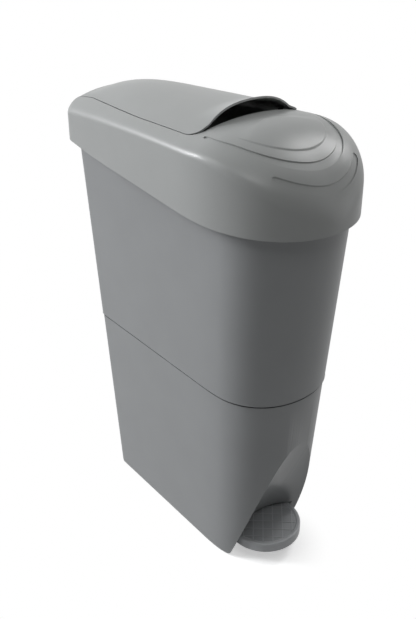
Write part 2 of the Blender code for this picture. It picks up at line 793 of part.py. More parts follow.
def make_tub():
    """Make the tub with its scoop, floor, hollow base and the pads it carries."""
    rings = [
        level_ring(body_plan(BODY_LIFT), BODY_LIFT),
        level_ring(body_plan(STEP_HEIGHT), STEP_HEIGHT),
        level_ring(body_plan(STEP_HEIGHT + STEP_RISE, 0.0, STEP_DEPTH), STEP_HEIGHT + STEP_RISE),
        rim_ring(0.0, STEP_DEPTH),
    ]
    tub = loft("body_shell", rings, finish_plastic)
    floor_top = FLOOR_UNDERSIDE + FLOOR_THICKNESS
    cavity = loft("tub_cavity", [
        level_ring(body_plan(floor_top, BODY_WALL + FLOOR_FILLET), floor_top),
        level_ring(body_plan(floor_top, BODY_WALL + FLOOR_FILLET * FILLET_MID_SHARE),
                   floor_top + FLOOR_FILLET * FILLET_MID_SHARE),
        level_ring(body_plan(floor_top + FLOOR_FILLET, BODY_WALL), floor_top + FLOOR_FILLET),
        rim_ring(BODY_WALL, STEP_DEPTH, OVERRUN),
    ])
    cut(cavity, make_scoop("scoop_wall_line", SCOOP_WALL, -OVERRUN, SCOOP_TOP))
    hollow = loft("base_hollow", [
        level_ring(body_plan(-OVERRUN, BODY_WALL), -OVERRUN),
        level_ring(body_plan(FLOOR_UNDERSIDE, BODY_WALL), FLOOR_UNDERSIDE),
    ])
    cut(tub, cavity, make_scoop("scoop", 0.0, -OVERRUN, SCOOP_TOP), hollow)
    for name, across, place in foot_places():
        post = bar("post_" + name, (across, place, BODY_LIFT),
                   (across, place, FLOOR_UNDERSIDE + BODY_WALL / 2.0), FOOT_POST_RADIUS)
        hole = bar("stem_hole_" + name, (across, place, -OVERRUN),
                   (across, place, BODY_LIFT + FOOT_STEM_LENGTH + CLEARANCE), FOOT_STEM_RADIUS + CLEARANCE)
        join(tub, post)
        cut(tub, hole)
    for side in (-1.0, 1.0):
        inner = LEVER_HALF_WIDTH + BLOCK_GAP
        edges = sorted((side * inner, side * (inner + BLOCK_THICKNESS)))
        pad = block("block_pad",
                    (edges[0], AXLE_Y - BLOCK_FOOT_HALF_DEPTH, FLOOR_UNDERSIDE - BLOCK_PAD_DEPTH),
                    (edges[1], AXLE_Y + BLOCK_FOOT_HALF_DEPTH, FLOOR_UNDERSIDE + FLOOR_THICKNESS / 2.0))
        join(tub, pad)
    for place, direction, length in block_screws():
        cut(tub, screw_hole("block_screw_hole", place, direction, length))
    for height in (GUIDE_HEIGHT_LOW, GUIDE_HEIGHT_HIGH):
        frame = guide_frame(height)
        pad = block("guide_pad",
                    (-GUIDE_EAR_HALF_WIDTH, -BODY_WALL - GUIDE_PAD_THICKNESS, -GUIDE_HALF_HEIGHT),
                    (GUIDE_EAR_HALF_WIDTH, -BODY_WALL / 2.0, GUIDE_HALF_HEIGHT), None, frame)
        join(tub, pad)
    for place, direction, length in guide_screws():
        cut(tub, screw_hole("guide_screw_hole", place, direction, length))
    hole = bar("rod_hole", ROD_BASE - ROD_AXIS * OVERRUN,
               ROD_BASE + ROD_AXIS * (FLOOR_UNDERSIDE + OVERRUN), ROD_RADIUS + ROD_HOLE_MARGIN)
    cut(tub, hole)
    soften(tub)
    return tub


# Feet
def foot_places():
    """Return each foot's name and place."""
    return (
        ("front_left", -FRONT_FOOT_X, FRONT_FOOT_Y),
        ("front_right", FRONT_FOOT_X, FRONT_FOOT_Y),
        ("back_left", -BACK_FOOT_X, BACK_FOOT_Y),
        ("back_right", BACK_FOOT_X, BACK_FOOT_Y),
    )


def make_feet():
    """Make the four rubber feet, each with a stem in its post."""
    top = BODY_LIFT - CLEARANCE
    profile = [
        (0.0, top + FOOT_STEM_LENGTH),
        (FOOT_STEM_RADIUS, top + FOOT_STEM_LENGTH),
        (FOOT_STEM_RADIUS, top),
        (FOOT_RADIUS, top),
        (FOOT_RADIUS, FOOT_EDGE_ROUND),
        (FOOT_RADIUS - FOOT_EDGE_ROUND, 0.0),
        (0.0, 0.0),
    ]
    for name, across, place in foot_places():
        turned("foot_" + name, profile, finish_rubber, SMALL_STEPS,
               Matrix.Translation((across, place, 0.0)))


# Pedal, lever and axle
def lever_floor():
    """Return the height of the lever's lower edges."""
    return LEVER_TOP - LEVER_DEPTH


def block_screws():
    """Return the seat, direction and length of each axle block screw."""
    middle = LEVER_HALF_WIDTH + BLOCK_GAP + BLOCK_THICKNESS / 2.0
    offset = (BLOCK_HALF_DEPTH + BLOCK_FOOT_HALF_DEPTH) / 2.0
    seat = FLOOR_UNDERSIDE - BLOCK_PAD_DEPTH - CLEARANCE - BLOCK_FOOT_HEIGHT
    length = BLOCK_FOOT_HEIGHT + SCREW_BITE
    found = []
    for side in (-1.0, 1.0):
        for end in (-1.0, 1.0):
            found.append(((side * middle, AXLE_Y + end * offset, seat), (0.0, 0.0, 1.0), length))
    return found


def make_axle_blocks():
    """Make the two blocks that carry the axle under the floor, and their screws."""
    top = FLOOR_UNDERSIDE - BLOCK_PAD_DEPTH - CLEARANCE
    inner = LEVER_HALF_WIDTH + BLOCK_GAP
    for name, side in (("left", -1.0), ("right", 1.0)):
        edges = sorted((side * inner, side * (inner + BLOCK_THICKNESS)))
        item = block("axle_block_" + name,
                     (edges[0], AXLE_Y - BLOCK_HALF_DEPTH, AXLE_HEIGHT - BLOCK_BELOW_AXLE),
                     (edges[1], AXLE_Y + BLOCK_HALF_DEPTH, top), finish_dark)
        foot = block("axle_block_foot", (edges[0], AXLE_Y - BLOCK_FOOT_HALF_DEPTH, top - BLOCK_FOOT_HEIGHT),
                     (edges[1], AXLE_Y + BLOCK_FOOT_HALF_DEPTH, top))
        join(item, foot)
        cut(item, axle_hole())
        for place, direction, length in block_screws():
            if place[0] * side > 0.0:
                cut(item, screw_hole("axle_block_screw_hole", place, direction, length))
    names = ("left_front", "left_back", "right_front", "right_back")
    for name, (place, direction, length) in zip(names, block_screws()):
        screw("block_screw_" + name, place, direction, length)


def axle_ends():
    """Return the half length of the axle, past both clips."""
    return LEVER_HALF_WIDTH + BLOCK_GAP + BLOCK_THICKNESS + 2.0 * CLEARANCE + 2.0 * CLIP_THICKNESS


def axle_hole():
    """Make the cutter for the axle's bore."""
    reach = axle_ends() + OVERRUN
    return bar("axle_bore", (-reach, AXLE_Y, AXLE_HEIGHT), (reach, AXLE_Y, AXLE_HEIGHT),
               AXLE_RADIUS + CLEARANCE, None, SMALL_STEPS)


def make_axle():
    """Make the lever's axle and the clips at its ends."""
    reach = axle_ends()
    bar("pedal_axle", (-reach, AXLE_Y, AXLE_HEIGHT), (reach, AXLE_Y, AXLE_HEIGHT), AXLE_RADIUS,
        finish_steel, SMALL_STEPS)
    for name, side in (("left", -1.0), ("right", 1.0)):
        near = side * (LEVER_HALF_WIDTH + BLOCK_GAP + BLOCK_THICKNESS + CLEARANCE)
        far = near + side * CLIP_THICKNESS
        clip = bar("axle_clip_" + name, (near, AXLE_Y, AXLE_HEIGHT), (far, AXLE_Y, AXLE_HEIGHT), CLIP_RADIUS,
                   finish_steel, SMALL_STEPS)
        cut(clip, axle_hole())


def tread_screws():
    """Return the seat, direction and length of each tread screw."""
    seat = LEVER_TOP - LEVER_METAL
    length = LEVER_METAL + SCREW_BITE
    found = []
    for end in (-1.0, 1.0):
        found.append(((0.0, PEDAL_Y + end * PEDAL_BOSS_SPACING, seat), (0.0, 0.0, 1.0), length))
    return found


def make_pedal(axis):
    """Make the folded lever and the round tread screwed to its front."""
    front = PEDAL_Y - LEVER_FRONT_REACH
    back = ROD_BASE.y + LEVER_BACK_REACH
    lever = block("pedal_lever", (-LEVER_HALF_WIDTH, front, lever_floor()),
                  (LEVER_HALF_WIDTH, back, LEVER_TOP), finish_steel)
    inside = LEVER_HALF_WIDTH - LEVER_METAL
    trough = block("lever_trough", (-inside, front - OVERRUN, lever_floor() - OVERRUN),
                   (inside, back + OVERRUN, LEVER_TOP - LEVER_METAL))
    cut(lever, trough, axle_hole())
    for place, direction, length in tread_screws():
        cut(lever, screw_hole("lever_screw_hole", place, direction, length))
    tread_top = PEDAL_TOP - PEDAL_TREAD_SINK
    plate_low = tread_top - PEDAL_PLATE
    rim_in = PEDAL_RADIUS - PEDAL_RIM_WIDTH
    profile = [
        (0.0, tread_top),
        (rim_in - PEDAL_TREAD_SINK, tread_top),
        (rim_in, PEDAL_TOP),
        (PEDAL_RADIUS - PEDAL_EDGE_ROUND, PEDAL_TOP),
        (PEDAL_RADIUS - PEDAL_EDGE_ROUND * FILLET_MID_SHARE, PEDAL_TOP - PEDAL_EDGE_ROUND * FILLET_MID_SHARE),
        (PEDAL_RADIUS, PEDAL_TOP - PEDAL_EDGE_ROUND),
        (PEDAL_RADIUS, PEDAL_UNDERSIDE),
        (PEDAL_RADIUS - PEDAL_SKIRT, PEDAL_UNDERSIDE),
        (PEDAL_RADIUS - PEDAL_SKIRT, plate_low),
        (0.0, plate_low),
    ]
    tread = turned("pedal_tread", profile, finish_plastic, ROUND_STEPS,
                   Matrix.Translation((0.0, PEDAL_Y, 0.0)))
    slot_half = LEVER_HALF_WIDTH + 2.0 * CLEARANCE
    slot = block("tread_lever_slot", (-slot_half, PEDAL_Y + PEDAL_RADIUS / 2.0, -OVERRUN),
                 (slot_half, PEDAL_Y + PEDAL_RADIUS + OVERRUN, LEVER_TOP + 2.0 * CLEARANCE))
    cut(tread, slot)
    for place, direction, length in tread_screws():
        boss = bar("tread_boss", (place[0], place[1], LEVER_TOP + CLEARANCE),
                   (place[0], place[1], plate_low + PEDAL_PLATE / 2.0), PEDAL_BOSS_RADIUS)
        join(tread, boss)
        cut(tread, screw_hole("tread_screw_hole", place, direction, length))
    screws = []
    for name, (place, direction, length) in zip(("front", "back"), tread_screws()):
        screws.append(screw("tread_screw_" + name, place, direction, length))
    hang_on(axis, lever, tread, *screws)


# Push rod and its guides
def guide_frame(height):
    """Return a frame on the outside of the back wall with its upright along the wall."""
    return rod_frame(Vector((0.0, back_line(height) + guide_offset(height), height)))


def guide_offset(height):
    """Return how far the back wall stands out at a height."""
    return STEP_DEPTH if height > STEP_HEIGHT else 0.0


def rod_depth(height):
    """Return the distance from the outside of the back wall to the rod's axis."""
    return (back_line(height) + guide_offset(height) - NOSE_Y
            - BACK_LEAN * (height - NOSE_HEIGHT)) * cos(BACK_ANGLE)


def guide_screws():
    """Return the seat, direction and length of each guide screw."""
    found = []
    for height in (GUIDE_HEIGHT_LOW, GUIDE_HEIGHT_HIGH):
        frame = guide_frame(height)
        across = (GUIDE_HALF_WIDTH + GUIDE_EAR_HALF_WIDTH) / 2.0
        depth = BODY_WALL + GUIDE_PAD_THICKNESS + CLEARANCE + GUIDE_EAR_THICKNESS
        for side in (-1.0, 1.0):
            seat = frame @ Vector((side * across, -depth, 0.0))
            direction = frame.to_3x3() @ Vector((0.0, 1.0, 0.0))
            found.append((seat, direction, GUIDE_EAR_THICKNESS + SCREW_BITE))
    return found


def make_guides():
    """Make the two guides that hold the rod to the back wall, and their screws."""
    for name, height in (("lower", GUIDE_HEIGHT_LOW), ("upper", GUIDE_HEIGHT_HIGH)):
        frame = guide_frame(height)
        back = -BODY_WALL - GUIDE_PAD_THICKNESS - CLEARANCE
        depth = rod_depth(height)
        item = block("rod_guide_" + name,
                     (-GUIDE_HALF_WIDTH, -depth - GUIDE_FRONT_REACH, -GUIDE_BODY_HALF_HEIGHT),
                     (GUIDE_HALF_WIDTH, back - GUIDE_EAR_THICKNESS / 2.0, GUIDE_BODY_HALF_HEIGHT),
                     finish_dark, frame)
        ear = block("guide_ear", (-GUIDE_EAR_HALF_WIDTH, back - GUIDE_EAR_THICKNESS, -GUIDE_HALF_HEIGHT),
                    (GUIDE_EAR_HALF_WIDTH, back, GUIDE_HALF_HEIGHT), None, frame)
        bore = bar("guide_bore", (0.0, -depth, -OVERRUN), (0.0, -depth, OVERRUN),
                   ROD_RADIUS + CLEARANCE, None, SMALL_STEPS, frame)
        join(item, ear)
        cut(item, bore)
        for place, direction, length in guide_screws():
            if abs(place.z - height) < GUIDE_HALF_HEIGHT:
                cut(item, screw_hole("guide_screw_clear", place, direction, length))
    names = ("lower_left", "lower_right", "upper_left", "upper_right")
    for name, (place, direction, length) in zip(names, guide_screws()):
        screw("guide_screw_" + name, place, direction, length)


def rod_cap(name, radius, height, place, crown):
    """Make a cap with a blind socket, its closed and crowned end at the origin."""
    bore = ROD_RADIUS + CLEARANCE
    profile = [
        (0.0, ROD_SOCKET_WALL),
        (bore, ROD_SOCKET_WALL),
        (bore, height),
        (radius, height),
        (radius, ROD_SOCKET_WALL / 2.0 + crown),
        (radius - ROD_SOCKET_WALL / 2.0, crown),
        (radius / 2.0, crown / 4.0),
        (0.0, 0.0),
    ]
    return turned(name, profile, finish_dark, SMALL_STEPS, place)


def make_rod(axis):
    """Make the push rod with its foot and its head."""
    flip = Matrix.Rotation(pi, 4, "X")
    foot = rod_cap("rod_foot", ROD_FOOT_RADIUS, ROD_FOOT_HEIGHT, rod_frame(ROD_BASE), ROD_FOOT_CROWN)
    head = rod_cap("rod_head", ROD_HEAD_RADIUS, ROD_HEAD_HEIGHT, rod_frame(ROD_TOP) @ flip, CLEARANCE / 4.0)
    gap = ROD_SOCKET_WALL + CLEARANCE
    rod = bar("push_rod", ROD_BASE + ROD_AXIS * gap, ROD_TOP - ROD_AXIS * gap, ROD_RADIUS, finish_steel)
    hang_on(axis, rod, foot, head)


# Liner ring
def make_liner_ring():
    """Make the ring that lies on the tub's rim and holds the liner."""
    lift = CLEARANCE
    rings = [
        rim_ring(0.0, STEP_DEPTH + RING_OUT, lift - RING_SKIRT_DROP),
        rim_ring(0.0, STEP_DEPTH + RING_OUT, lift + RING_THICKNESS),
        rim_ring(BODY_WALL + RING_IN, STEP_DEPTH, lift + RING_THICKNESS),
        rim_ring(BODY_WALL + RING_IN, STEP_DEPTH, lift),
        rim_ring(0.0, STEP_DEPTH + CLEARANCE, lift),
        rim_ring(0.0, STEP_DEPTH + CLEARANCE, lift - RING_SKIRT_DROP),
    ]
    ring = loft("liner_ring", rings, finish_dark, False, True)
    soften(ring)
    return ring


# Hood
def groove_row(station, side, shares):
    """Return the inner and outer point of a groove at one station round the nose."""
    plan = hood_plan()
    start = plan.front + plan.nose
    found = []
    for share in shares:
        if station < 0.0:
            place = start - station
            found.append((side * plan.half_width * taper(plan, place) * share, place))
        else:
            angle = (1.0 - station) * pi / 2.0
            power = NOSE_POWER_SHARE
            size = (cos(angle) ** power + sin(angle) ** power) ** (-1.0 / power)
            found.append((side * plan.half_width * share * size * sin(angle),
                          start - plan.nose * share * size * cos(angle)))
    return found


def make_groove(name, stations, section):
    """Make the cutter for a groove that runs round the nose with round ends."""
    ends = GROOVE_END_SHARES
    path = [(station, -1.0) for station in stations]
    path += [(station, 1.0) for station in reversed(stations[:-1])]
    form = bmesh.new()
    rows = []
    last = len(path) - 1
    for index, (station, side) in enumerate(path):
        close = ends[min(index, last - index, len(ends) - 1)]
        inner, outer = section(max(station, 0.0))
        middle = (inner + outer) / 2.0
        half = (outer - inner) / 2.0 * close
        near, far = groove_row(station, side, (middle - half, middle + half))
        rows.append([
            form.verts.new((*near, hood_top(*near) - GROOVE_DEPTH)),
            form.verts.new((*far, hood_top(*far) - GROOVE_DEPTH)),
            form.verts.new((*far, hood_top(*far) + GROOVE_DEPTH * 3.0)),
            form.verts.new((*near, hood_top(*near) + GROOVE_DEPTH * 3.0)),
        ])
    for first, second in zip(rows, rows[1:]):
        stitch(form, first, second)
    form.faces.new(list(reversed(rows[0])))
    form.faces.new(rows[-1])
    return place_mesh(name, form)


def upper_groove_section(turn):
    """Return the upper groove's edges: narrow at its ends, wide at the nose."""
    inner, outer = UPPER_GROOVE_SHARES
    narrow = 1.0 - ease(turn / UPPER_GROOVE_FADE_SHARE)
    return Section(inner + UPPER_GROOVE_NARROW_SHARE * narrow, outer)


def lower_groove_section(turn):
    """Return the lower groove's edges."""
    inner, outer = LOWER_GROOVE_SHARES
    return Section(inner, outer)


def hood_rings():
    """Return the hood's rings, from its lower edge over the shoulder to the dome."""
    wall = plan_outline(hood_plan())
    inner = plan_outline(hood_plan(SHOULDER_SHARE))
    step = SHOULDER_STEP_SHARE
    inmost = plan_outline(hood_plan(SHOULDER_SHARE - step))
    rings = [[Vector((across, place, hood_edge(place))) for across, place in wall]]
    for count in range(SHOULDER_STEPS + 1):
        share = count / SHOULDER_STEPS
        ring = []
        for outside, edge, within in zip(wall, inner, inmost):
            _, turn, along = hood_place(*outside)
            edge_height = hood_top(*edge)
            slope = (edge_height - hood_top(*within)) / step
            corner = edge_height + slope * (1.0 - SHOULDER_SHARE)
            round_drop = mix(SHOULDER_ROUND_SIDE, SHOULDER_ROUND_NOSE, turn)
            foot = Vector((*outside, shoulder_height(turn, along) - round_drop))
            knee = Vector((*outside, corner))
            top = Vector((*edge, edge_height))
            rest = 1.0 - share
            ring.append(foot * rest * rest + knee * 2.0 * share * rest + top * share * share)
        rings.append(ring)
    for share in HOOD_RING_SHARES:
        outline = plan_outline(hood_plan(share))
        rings.append([Vector((across, place, hood_top(across, place))) for across, place in outline])
    return rings


def flap_rows():
    """Return the places along the flap at which its section is drawn."""
    rows = [FLAP_FRONT + FLAP_CORNER_LENGTH * share for share in FLAP_CORNER_ROW_SHARES]
    first = rows[-1]
    last = FLAP_BACK - FLAP_BACK_ROUND
    far = 8
    rows += [mix(first, last, step / far) for step in range(1, far + 1)]
    return rows


def make_aperture():
    """Make the cutter for the flap's opening, down through the hood's back wall."""
    half = []
    for index, place in enumerate(flap_rows()):
        shift = FLAP_SEAM_GAP if index == 0 else 0.0
        half.append((flap_half_width(place) + FLAP_SEAM_GAP, place - shift))
    half.append((flap_half_width(HOOD_BACK) + FLAP_SEAM_GAP, HOOD_BACK + OVERRUN))
    outline = half + [(-across, place) for across, place in reversed(half)]
    return prism("flap_aperture", outline, wall_cut_height(), ROOF)


def lug_x():
    """Return how far out the hood's hinge lugs stand, just outside the seam."""
    return seam_half_width(HINGE_Y) + LUG_MARGIN


def knuckle_x():
    """Return how far out the flap's knuckles begin, just inside its edges."""
    return seam_half_width(HINGE_Y) - FLAP_SEAM_GAP - KNUCKLE_MARGIN - KNUCKLE_THICKNESS


def rest_x():
    """Return how far out the flap rests begin, under the flap's edges."""
    return seam_half_width(REST_Y) - REST_INSET


def bumper_x():
    """Return how far out the bumpers stand."""
    return rest_x() + BUMPER_INSET


def hinge_bore():
    """Make the cutter for the hinge pins' bores."""
    reach = lug_x() + LUG_THICKNESS + PIN_END + CLEARANCE
    return bar("hinge_bore", (-reach, HINGE_Y, HINGE_HEIGHT), (reach, HINGE_Y, HINGE_HEIGHT),
               HINGE_SHAFT_RADIUS + CLEARANCE)


def ring_top(place):
    """Return the height of the liner ring's upper face."""
    return HOOD_EDGE_HEIGHT + RIM_ABOVE_HOOD_EDGE + HOOD_RAKE_SHARE * place + CLEARANCE + RING_THICKNESS


def make_ribs():
    """Make the ribs inside the hood that stand on the liner ring."""
    plan = hood_plan()
    ribs = []
    for share in RIB_Y_SHARES:
        place = share * HOOD_BACK
        rim = body_plan(ring_top(place), 0.0, STEP_DEPTH)
        outside = plan.half_width * taper(plan, place) - HOOD_WALL / 2.0
        inside = rim.half_width * taper(rim, place) - RIB_REACH
        low = ring_top(place + RIB_THICKNESS / 2.0) + CLEARANCE
        for side in (-1.0, 1.0):
            edges = sorted((side * inside, side * outside))
            ribs.append(block("side_rib", (edges[0], place - RIB_THICKNESS / 2.0, low),
                              (edges[1], place + RIB_THICKNESS / 2.0, low + RIB_HEIGHT)))
    for side in (-1.0, 1.0):
        middle = side * BACK_RIB_X
        rim = body_plan(ring_top(HOOD_BACK), 0.0, STEP_DEPTH)
        low = ring_top(HOOD_BACK) + CLEARANCE
        ribs.append(block("back_rib", (middle - RIB_THICKNESS / 2.0, rim.back - RIB_REACH, low),
                          (middle + RIB_THICKNESS / 2.0, HOOD_BACK - HOOD_WALL / 2.0,
                           low + RIB_HEIGHT / 2.0)))
    front = body_plan(ring_top(HOOD_FRONT), 0.0, STEP_DEPTH).front
    low = ring_top(front + RIB_REACH) + CLEARANCE
    sides = (-RIB_THICKNESS / 2.0, RIB_THICKNESS / 2.0, front - RIB_REACH, front + RIB_REACH)
    ribs.append(hanging_block("front_rib", hood_top, sides, low, HOOD_WALL / 2.0))
    return ribs


def rest_surface(across, place):
    """Return the top of a flap rest: level inside and up into the hood outside."""
    outer = rest_x() + REST_LENGTH
    low = hood_top(outer, REST_Y) - REST_TOP_DROP
    high = hood_top(outer, place) - HOOD_WALL / 2.0
    share = clamp((abs(across) - rest_x()) / REST_LENGTH)
    return mix(low, high, share)


def make_hood():
    """Make the hood with its grooves, ribs, hinge lugs and flap rests."""
    hood = loft("hood_cover", hood_rings(), finish_plastic, True)
    hood.modifiers.new("flat_facets", "TRIANGULATE")
    thicken(hood, HOOD_WALL)
    cut(hood, make_aperture())
    tail = GROOVE_TAIL
    upper = [-tail * share for share in GROOVE_TAIL_SHARES]
    upper += list(UPPER_GROOVE_TURN_SHARES)
    cut(hood, make_groove("upper_groove", upper, upper_groove_section))
    cut(hood, make_groove("lower_groove", list(LOWER_GROOVE_TURN_SHARES), lower_groove_section))
    join(hood, *make_ribs())
    for side in (-1.0, 1.0):
        edges = sorted((side * lug_x(), side * (lug_x() + LUG_THICKNESS)))
        sides = (edges[0], edges[1], HINGE_Y - LUG_HALF_DEPTH, HINGE_Y + LUG_HALF_DEPTH)
        join(hood, hanging_block("hinge_lug", hood_top, sides, HINGE_HEIGHT - LUG_DROP, HOOD_WALL / 2.0))
        edges = sorted((side * rest_x(), side * (rest_x() + REST_LENGTH)))
        sides = (edges[0], edges[1], REST_Y - REST_HALF_DEPTH, REST_Y + REST_HALF_DEPTH)
        low = hood_top(rest_x() + REST_LENGTH, REST_Y) - REST_LOW
        join(hood, hanging_block("flap_rest", rest_surface, sides, low, 0.0))
    cut(hood, hinge_bore())
    for place, direction, length in shield_screws():
        boss = bar("shield_boss", Vector(place) + Vector((0.0, 0.0, SHIELD_WALL + 7.0 * CLEARANCE)),
                   (place[0], place[1], hood_top(place[0], place[1]) - HOOD_WALL / 2.0), FOOT_STEM_RADIUS)
        join(hood, boss)
        cut(hood, screw_hole("shield_boss_hole", place, direction, length))
    soften(hood, radians(28.0))
    return hood


def make_hinge_pins():
    """Make the two pins on which the flap turns."""
    pins = []
    for name, side in (("left", -1.0), ("right", 1.0)):
        near = side * (knuckle_x() - PIN_END)
        far = side * (lug_x() + LUG_THICKNESS + PIN_END)
        pins.append(bar("hinge_pin_" + name, (near, HINGE_Y, HINGE_HEIGHT), (far, HINGE_Y, HINGE_HEIGHT),
                        HINGE_SHAFT_RADIUS, finish_steel))
    return pins


# Shield
def shield_top(across, drop, place):
    """Return the upper face of the shield: under the dome, then falling away."""
    roof = hood_top(across, min(place, FLAP_FRONT - FLAP_SEAM_GAP))
    return roof - HOOD_WALL * WALL_SLOPE_SHARE - 3.0 * CLEARANCE - drop


def make_shield():
    """Make the fixed shield that closes the view through the slot."""
    columns = 14
    half_width = seam_half_width(FLAP_FRONT) - SHIELD_INSET
    rows = []
    for lap, reach, lip, fall in SHIELD_STATION_SHARES:
        place = FLAP_FRONT + SHIELD_LAP * lap + SHIELD_REACH * reach
        drop = SHIELD_LIP * lip + SHIELD_FALL * fall
        row = []
        for column in range(columns + 1):
            across = half_width * (2.0 * column / columns - 1.0)
            row.append(Vector((across, place, shield_top(across, drop, place))))
        rows.append(row)
    shield = sheet("modesty_shield", rows, SHIELD_WALL, finish_dark)
    for place, direction, length in shield_screws():
        cut(shield, screw_hole("shield_hole", place, direction, length))
    soften(shield)
    screws = []
    for name, (place, direction, length) in zip(("left", "right"), shield_screws()):
        screws.append(screw("shield_screw_" + name, place, direction, length))
    return [shield] + screws


def shield_screws():
    """Return the seat, direction and length of each shield screw."""
    found = []
    for side in (-1.0, 1.0):
        across = side * SHIELD_SCREW_X
        place = FLAP_FRONT - SHIELD_LAP * SHIELD_SCREW_PLACE_SHARE
        seat = shield_top(across, SHIELD_LIP * SHIELD_SCREW_DROP_SHARE, place) - SHIELD_WALL - 2.0 * CLEARANCE
        found.append(((across, place, seat), (0.0, 0.0, 1.0), SHIELD_WALL + SCREW_BITE / 2.0))
    return found


# Flap
def make_flap():
    """Make the crowned flap with its arch, back, knuckles and crank seat."""
    columns = 20
    rows = []
    for place in flap_rows():
        width = flap_half_width(place)
        row = []
        for column in range(columns + 1):
            across = -width * cos(pi * column / columns)
            row.append(Vector((across, place, flap_top(across, place))))
        rows.append(row)
    width = flap_half_width(HOOD_BACK)
    last = flap_rows()[-1]
    for share in FLAP_ROUND_ROW_SHARES:
        angle = share * pi / 2.0
        row = []
        for column in range(columns + 1):
            across = -width * cos(pi * column / columns)
            fall = FLAP_BACK_ROUND * FLAP_BACK_FALL_SHARE * (1.0 - cos(angle))
            row.append(Vector((across, last + FLAP_BACK_ROUND * sin(angle), flap_top(across, last) - fall)))
        rows.append(row)
    row = []
    for column in range(columns + 1):
        row.append(Vector((-width * cos(pi * column / columns), FLAP_BACK, FLAP_BACK_FOOT)))
    rows.append(row)
    flap = sheet("flap_lid", rows, FLAP_WALL, finish_plastic)
    for side in (-1.0, 1.0):
        edges = sorted((side * knuckle_x(), side * (knuckle_x() + KNUCKLE_THICKNESS)))
        sides = (edges[0], edges[1], HINGE_Y - LUG_HALF_DEPTH, HINGE_Y + LUG_HALF_DEPTH)
        join(flap, hanging_block("flap_knuckle", flap_top, sides, HINGE_HEIGHT - LUG_DROP, FLAP_WALL / 2.0))
    cut(flap, hinge_bore())
    sides = (-CRANK_FLANGE_HALF_WIDTH, CRANK_FLANGE_HALF_WIDTH,
             NOSE_Y - CRANK_FLANGE_FRONT, NOSE_Y + CRANK_FLANGE_BACK)
    join(flap, hanging_block("crank_seat", flap_top, sides, crank_seat(), FLAP_WALL / 3.0))
    for place, direction, length in crank_screws():
        cut(flap, screw_hole("crank_seat_hole", place, direction, length))
    soften(flap)
    return flap


def crank_seat():
    """Return the height of the flat seat under the flap."""
    return NOSE_HEIGHT + CRANK_SEAT_DROP


def crank_screws():
    """Return the seat, direction and length of each crank screw."""
    low = crank_seat() - CLEARANCE - CRANK_FLANGE_THICKNESS
    place = NOSE_Y - (CRANK_FLANGE_FRONT + CRANK_NOSE_RADIUS) / 2.0
    across = (CRANK_FLANGE_HALF_WIDTH + CRANK_HALF_WIDTH) / 2.0
    found = []
    for side in (-1.0, 1.0):
        found.append(((side * across, place, low), (0.0, 0.0, 1.0), CRANK_FLANGE_THICKNESS + SCREW_BITE))
    return found


def make_crank():
    """Make the crank that the rod's head pushes, and its screws."""
    top = crank_seat() - CLEARANCE
    low = top - CRANK_FLANGE_THICKNESS
    crank = block("flap_crank", (-CRANK_FLANGE_HALF_WIDTH, NOSE_Y - CRANK_FLANGE_FRONT, low),
                  (CRANK_FLANGE_HALF_WIDTH, NOSE_Y + CRANK_FLANGE_BACK, top), finish_dark)
    web = block("crank_web", (-CRANK_HALF_WIDTH, NOSE_Y - CRANK_NOSE_RADIUS, NOSE_HEIGHT),
                (CRANK_HALF_WIDTH, NOSE_Y + CRANK_NOSE_RADIUS, low + CRANK_FLANGE_THICKNESS / 2.0))
    nose = bar("crank_nose", (-CRANK_HALF_WIDTH - CLEARANCE, NOSE_Y, NOSE_HEIGHT),
               (CRANK_HALF_WIDTH + CLEARANCE, NOSE_Y, NOSE_HEIGHT), CRANK_NOSE_RADIUS)
    join(crank, web, nose)
    for place, direction, length in crank_screws():
        cut(crank, screw_hole("crank_screw_hole", place, direction, length))
    screws = []
    for name, (place, direction, length) in zip(("left", "right"), crank_screws()):
        screws.append(screw("crank_screw_" + name, place, direction, length))
    return [crank] + screws


def make_bumpers():
    """Make the two rubber bumpers on which the flap rests."""
    bumpers = []
    for name, side in (("left", -1.0), ("right", 1.0)):
        across = side * bumper_x()
        low = rest_surface(bumper_x() + BUMPER_RADIUS, REST_Y) + CLEARANCE
        under = flap_top(bumper_x() + BUMPER_RADIUS, REST_Y + BUMPER_RADIUS) - FLAP_WALL * WALL_SLOPE_SHARE
        bumpers.append(bar("flap_bumper_" + name, (across, REST_Y, low), (across, REST_Y, under - CLEARANCE),
                           BUMPER_RADIUS, finish_rubber))
    return bumpers


def main():
    """Build every piece and hang the moving ones on their axes."""
    make_tub()
    make_feet()
    make_axle_blocks()
    make_axle()
    make_guides()
    make_liner_ring()
    pedal_axis = pivot("pedal_axis", (0.0, AXLE_Y, AXLE_HEIGHT))
    make_pedal(pedal_axis)
    rod_line = pivot("rod_line", ROD_BASE)
    make_rod(rod_line)
    hood_seat = pivot("hood_seat", (0.0, 0.0, HOOD_EDGE_HEIGHT))
    hang_on(hood_seat, make_hood(), *make_shield(), *make_hinge_pins(), *make_bumpers())
    flap_axis = pivot("flap_axis", (0.0, HINGE_Y, HINGE_HEIGHT))
    hang_on(flap_axis, make_flap(), *make_crank())


main()
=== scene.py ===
"""Dress a pedal operated sanitary container for its studio picture.

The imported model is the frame. The large moulded pieces that show are modelled again here with
finer curves, on the same sizes, and every other piece keeps its shape and gets its finish.
"""

import json
import logging
from dataclasses import dataclass
from enum import Enum
from math import atan2, cos, pi, radians, sin, sqrt
from typing import Callable, Dict, List, Optional, Sequence, Tuple, Union

import bmesh
import bpy
from bpy.types import Material, MeshPolygon, Node, NodeTree, Object
from bpy.types import NodeSocket as Socket
from mathutils import Matrix, Vector


